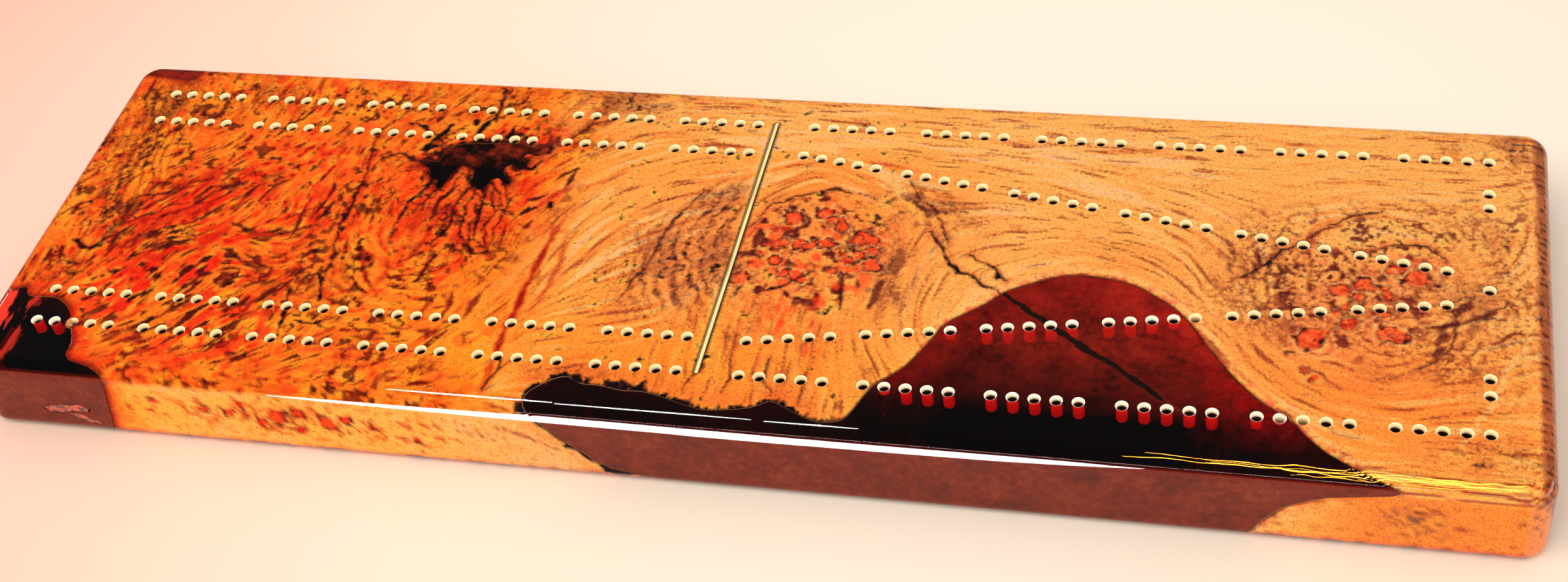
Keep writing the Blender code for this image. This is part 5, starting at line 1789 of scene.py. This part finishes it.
def brushed_material(name, tone, stretch, rough, metal=1.0, core=None):
    """Brushed metal; a strip centred on x = core darkens at its edges."""
    shader = Shader(name)
    grain = shader.noise(scale=700.0, detail=4.0, rough=0.6, stretch=stretch)
    colour = shader.ramp(grain, [(0.25, tuple(v * 0.55 for v in tone)), (0.5, tone),
                                 (0.8, tuple(min(1.0, v * 1.15) for v in tone))])
    if core is not None:
        x = shader.axes("ShaderNodeNewGeometry", "Position")["X"]
        away = shader.maths("ABSOLUTE", shader.maths("SUBTRACT", x, core))
        colour = shader.mix(colour, (0.055, 0.014, 0.004),
                            shader.remap(away, (0.00040, 0.00058)))
    shader.surface(base_color=colour, metallic=metal,
                   roughness=shader.remap(grain, (0.3, 0.7), (rough * 0.6, rough * 1.5)))
    shader.bump(grain, strength=0.15, distance=0.0002)
    return shader.material


WOOD = wood_material()
# the bores glow at the rim as painted light and darken below as painted shade
BORE = bore_material("bore_wood", rim=lin(250, 222, 170), deep=lin(14, 4, 2), glow=0.42)
BARE = bare_wood_material()
SKINS = [resin_skin("ruby_resin_skin", milk=0.30, line_strength=0.92),
         resin_skin("ruby_resin_corner_skin", milk=0.02, line_strength=0.0, licks=True),
         resin_skin("ruby_resin_back_skin", milk=0.7, line_strength=0.92)]
BOND = resin_bond()
BASE = resin_base()
# the resin's bores likewise: painted glow at the rim and behind, painted shade below
RESIN_BORE_MATERIAL = bore_material("bore_resin", rim=lin(255, 240, 212), deep=lin(26, 4, 3),
                                    glow=0.40, behind=lin(255, 226, 214))


# ================================================================ meshes
def build(piece, materials, replaced, painted=False):
    tris = np.concatenate(piece.tris)
    ids, inverse = np.unique(tris, return_inverse=True)
    tris = inverse.reshape(-1, 3)
    points, flat = np.array(POOL)[ids], np.array(POOL_UV)[ids]
    mesh = bpy.data.meshes.new(piece.name)
    mesh.vertices.add(len(points))
    mesh.vertices.foreach_set("co", (points * MM).astype(np.float32).ravel())
    mesh.loops.add(len(tris) * 3)
    mesh.loops.foreach_set("vertex_index", tris.astype(np.int32).ravel())
    mesh.polygons.add(len(tris))
    mesh.polygons.foreach_set("loop_start", np.arange(0, len(tris) * 3, 3, dtype=np.int32))
    slots = np.concatenate(piece.slots).astype(np.int32)
    mesh.polygons.foreach_set("material_index", slots)
    mesh.polygons.foreach_set("use_smooth", np.ones(len(tris), bool))
    mesh.update(calc_edges=True)
    for material in materials:
        mesh.materials.append(material)
    mesh.validate()
    mesh.set_sharp_from_angle(angle=math.radians(32))
    if painted:
        colour = sheet_sample(SKIN_COLOUR, flat)
        low = points[:, 2] < 0.02
        mirrored = points[low][:, :2] * (1, -1)
        colour[low] = sheet_sample(UNDERSIDE_COLOUR, mirrored) * 0.92
        colour = np.concatenate([colour, np.ones((len(ids), 1))], 1)
        layer = mesh.attributes.new("paint", "FLOAT_COLOR", "POINT")
        layer.data.foreach_set("color", colour.astype(np.float32).ravel())
    obj = bpy.data.objects.new(piece.name, mesh)
    bpy.context.scene.collection.objects.link(obj)
    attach(obj, "board")
    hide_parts(replaced)


def coat_node(name, material):
    """Gives a CAD piece a single material."""
    for obj in bpy.context.scene.objects:
        if obj.type == "MESH" and obj.name.split(".")[0] == name:
            obj.data.materials.clear()
            obj.data.materials.append(material)


build(wood, [WOOD, BORE, BARE, BARE], "burl_slab", painted=True)
for piece, pour, skin_material in zip(resins, POURS, SKINS):
    build(piece, [skin_material, BOND, RESIN_BORE_MATERIAL, BASE], pour.name)
build(knot, [knot_material()], "knot_fill")

coat_node("burl_chip_upper", chip_material())
coat_node("burl_chip_lower", chip_material())
coat_node("skunk_line", brushed_material(
    "inlay_brass", tone=lin(255, 228, 150), stretch=(1.0, 0.08, 1.0), rough=0.5,
    metal=0.0, core=SKUNK_X * MM))
coat_node("store_lid", brushed_material(
    "lid_brass", tone=(0.80, 0.60, 0.28), stretch=(0.06, 1.0, 1.0), rough=0.35))
for k in (1, 2):
    for peg, tone, rough in ((f"peg_brass_{k}", (0.86, 0.64, 0.30), 0.22),
                             (f"peg_steel_{k}", (0.62, 0.63, 0.66), 0.25)):
        coat_node(peg, brushed_material(f"{peg}_metal", tone, stretch=(0.2, 1, 1), rough=rough))

# ================================================================ stage
scene = bpy.context.scene
CAMERA_PLACE = (0.173894, -0.449596, 0.491509)


def floor_material():
    """A pale table with painted shade: darker and pinker away from the board, like a vignette.
    """
    shader = Shader("pale_table")
    mapping = shader.node("ShaderNodeMapping")
    mapping.inputs["Location"].default_value = (-0.13, -0.07, 0)
    mapping.inputs["Scale"].default_value = (1.0, 1.15, 1.0)
    place = shader.node("ShaderNodeTexCoord").outputs["Object"]
    shader.feed(place, mapping.inputs["Vector"])
    length = shader.node("ShaderNodeVectorMath", operation="LENGTH")
    shader.feed(mapping.outputs["Vector"], length.inputs[0])
    # painted shade: the vignette darkens the table away from its centre
    colour = shader.ramp(shader.remap(length.outputs["Value"], (0.10, 0.58)), [
        (0.0, lin(252, 240, 223)), (0.40, lin(250, 229, 208)), (0.80, lin(249, 194, 173))])
    shader.surface(base_color=colour, roughness=0.9, specular_ior_level=0.0)
    return shader.material


def make_floor(half=4.0, z=-0.0003):
    mesh = bpy.data.meshes.new("floor")
    mesh.from_pydata([(-half, -half, z), (half, -half, z), (half, half, z), (-half, half, z)],
                     [], [(0, 1, 2, 3)])
    floor = bpy.data.objects.new("floor", mesh)
    scene.collection.objects.link(floor)
    mesh.materials.append(floor_material())


def area_light(name, place, target, size, power, colour):
    light = bpy.data.lights.new(name, "AREA")
    light.shape = "RECTANGLE"
    light.size, light.size_y = size
    light.energy = power
    light.color = colour
    obj = bpy.data.objects.new(name, light)
    obj.location = place
    aim = Vector(target) - Vector(place)
    obj.rotation_euler = aim.to_track_quat("-Z", "Y").to_euler()
    scene.collection.objects.link(obj)
    return obj


def gloss_light(*args, **settings):
    """A light that shows only in reflections."""
    obj = area_light(*args, **settings)
    obj.visible_diffuse = False
    obj.visible_transmission = False
    obj.visible_volume_scatter = False


def card_material(name, colour, strength):
    """Emission only back along the aim of each vertex."""
    shader = Shader(name)
    shader.tree.nodes.remove(shader.bsdf)
    emission = shader.node("ShaderNodeEmission")
    shader.feed(colour, emission.inputs["Color"])
    dot = shader.node("ShaderNodeVectorMath", operation="DOT_PRODUCT")
    aim = shader.node("ShaderNodeAttribute", attribute_name="aim").outputs["Vector"]
    shader.feed(aim, dot.inputs[0])
    shader.feed(shader.node("ShaderNodeNewGeometry").outputs["Incoming"], dot.inputs[1])
    gate = shader.remap(dot.outputs["Value"], (0.986, 0.995), (0.0, strength))
    shader.feed(gate, emission.inputs["Strength"])
    shader.feed(emission.outputs[0], shader.output.inputs["Surface"])
    return shader.material


def card(name, spine, colour, strength):
    """A bright panel that only the gloss sees. Each corner is found by
    reflecting the camera's ray off the front roundover, so the panel shows
    there as a ribbon: spine gives x (mm), the roundover angles (degrees from
    level) of its lower and upper edge."""
    eye = Vector(CAMERA_PLACE)
    reach = 0.5  # from the roundover to the panel, less where the table is nearer
    count_up, count_along = 9, 60
    spine = np.array(spine, float)
    run = np.linspace(0, len(spine) - 1, count_along)
    xs, low, high = (np.interp(run, range(len(spine)), spine[:, k]) for k in range(3))
    verts, aims = [], []
    for r in range(count_up):
        for c in range(count_along):
            angle = math.radians(low[c] + (high[c] - low[c]) * r / (count_up - 1))
            normal = Vector((0, -math.cos(angle), math.sin(angle)))
            centre = Vector((xs[c] * MM, -FLAT_Y * MM, (THICK - R_TOP) * MM))
            point = centre + normal * (R_TOP * MM)
            ray = (point - eye).normalized()
            ray = ray - 2 * ray.dot(normal) * normal
            dist = reach
            if ray.z < 0:
                dist = min(dist, (point.z - 0.0004) / -ray.z)
            verts.append(tuple(point + ray * dist))
            aims.append(tuple(-ray))
    starts = [r * count_along + c for r in range(count_up - 1) for c in range(count_along - 1)]
    faces = [(i, i + 1, i + count_along + 1, i + count_along) for i in starts]
    mesh = bpy.data.meshes.new(name)
    mesh.from_pydata(verts, [], faces)
    aim = mesh.attributes.new("aim", "FLOAT_VECTOR", "POINT")
    aim.data.foreach_set("vector", np.array(aims, np.float32).ravel())
    mesh.materials.append(card_material(name, colour, strength))
    obj = bpy.data.objects.new(name, mesh)
    scene.collection.objects.link(obj)
    obj.visible_camera = obj.visible_diffuse = obj.visible_shadow = False
    obj.visible_transmission = obj.visible_volume_scatter = False


# x, lower and upper angle along each white card
WHITE_CARDS = [
    ("card_white", 34.0, """
        -135 17 20, -115 12 22, -94 9 23, -68 6 26, -47 4 30, -19 3 30, 0 2 29,
        28 2 28, 56 3 28, 92 7 30, 110 14 30, 124 22 28, 132 26 28"""),
    ("card_second_1", 30.0, "-96 81 83, -83 79 84, -60 80 85, -43 82 85"),
    ("card_second_2", 30.0, "-42 79 82, -20 79 83, -2 80 84, 18 81 83"),
    ("card_second_3", 26.0, "22 79 82, 38 79 84, 50 81 83"),
]
# angle, thickness (degrees), x from, x to, seed, strength of each gold card
GOLD_CARDS = [
    (67, 3.4, 126, 205, 3, 104), (60, 3.0, 170, 236, 4, 104), (80, 2.6, 132, 200, 5, 88.4),
    (76, 3.0, 186, 240, 6, 98.8), (70, 2.0, 150, 226, 7, 78), (50, 2.6, 172, 222, 8, 67.6),
    (64, 1.3, 196, 240, 9, 93.6), (54, 1.3, 188, 238, 10, 78), (74, 1.3, 205, 240, 11, 88.4),
]


def make_cards():
    for name, strength, spine in WHITE_CARDS:
        card(name, rows(spine), (1.0, 1.0, 0.98), strength)
    for k, (base, thick, x0, x1, seed, strength) in enumerate(GOLD_CARDS):
        generator = np.random.default_rng(seed)
        xs = np.linspace(x0, x1, 16)
        middle = base + generator.uniform(-4.4, 4.4, 16) - (xs - 180) * 0.02
        swell = np.sin(np.linspace(0.1, math.pi - 0.1, 16)) ** 0.5
        half = thick * generator.uniform(0.15, 0.6, 16) * swell
        card(f"card_gold_{k}", np.stack([xs, middle - half, middle + half], 1),
             (1.0, 0.42, 0.035), strength)


def make_world():
    """A bright studio; the gloss reflects a dim room instead."""
    world = bpy.data.worlds.new("studio")
    scene.world = world
    world.use_nodes = True
    tree = world.node_tree
    studio = tree.nodes["Background"]
    studio.inputs["Color"].default_value = (1.0, 0.965, 0.93, 1.0)
    studio.inputs["Strength"].default_value = 0.72
    room = tree.nodes.new("ShaderNodeBackground")
    room.inputs["Color"].default_value = (0.9, 0.8, 0.8, 1.0)
    room.inputs["Strength"].default_value = 0.10
    path = tree.nodes.new("ShaderNodeLightPath")
    pick = tree.nodes.new("ShaderNodeMixShader")
    tree.links.new(path.outputs["Is Glossy Ray"], pick.inputs[0])
    tree.links.new(studio.outputs[0], pick.inputs[1])
    tree.links.new(room.outputs[0], pick.inputs[2])
    tree.links.new(pick.outputs[0], tree.nodes["World Output"].inputs["Surface"])


def make_camera():
    data = bpy.data.cameras.new("camera")
    data.lens = 48.814
    data.sensor_width = 36.0
    data.shift_x = -0.0260
    data.shift_y = 0.0007
    data.clip_start = 0.01
    camera = bpy.data.objects.new("camera", data)
    camera.location = CAMERA_PLACE
    camera.rotation_euler = [math.radians(a) for a in (44.2093, 6.5703, 11.7687)]
    scene.collection.objects.link(camera)
    scene.camera = camera


make_floor()
key = area_light("key_soft", place=(-0.35, -0.75, 1.45), target=(0, 0, 0), size=(1.6, 1.2),
                 power=17.0, colour=(1.0, 0.97, 0.92))
key.visible_glossy = False
gloss_light("side_right", place=(1.5, 0.0, 0.35), target=(0.2, 0, 0.02), size=(1.4, 0.4),
            power=7.0, colour=(0.90, 0.84, 0.90))
gloss_light("side_left", place=(-1.5, 0.1, 0.45), target=(-0.2, 0, 0.02), size=(1.4, 0.2),
            power=7.0, colour=(0.90, 0.90, 0.95))
gloss_light("strip_thin", place=(0.05, -1.35, 0.62), target=(0, 0, 0.02), size=(1.3, 0.02),
            power=2.2, colour=(1.0, 0.97, 0.92))
make_cards()
make_world()
make_camera()

scene.view_settings.view_transform = "Standard"
scene.view_settings.look = "None"
scene.cycles.use_denoising = True
scene.cycles.max_bounces = 12
scene.cycles.transmission_bounces = 10
scene.cycles.sample_clamp_indirect = 6.0

bpy.context.view_layer.update()
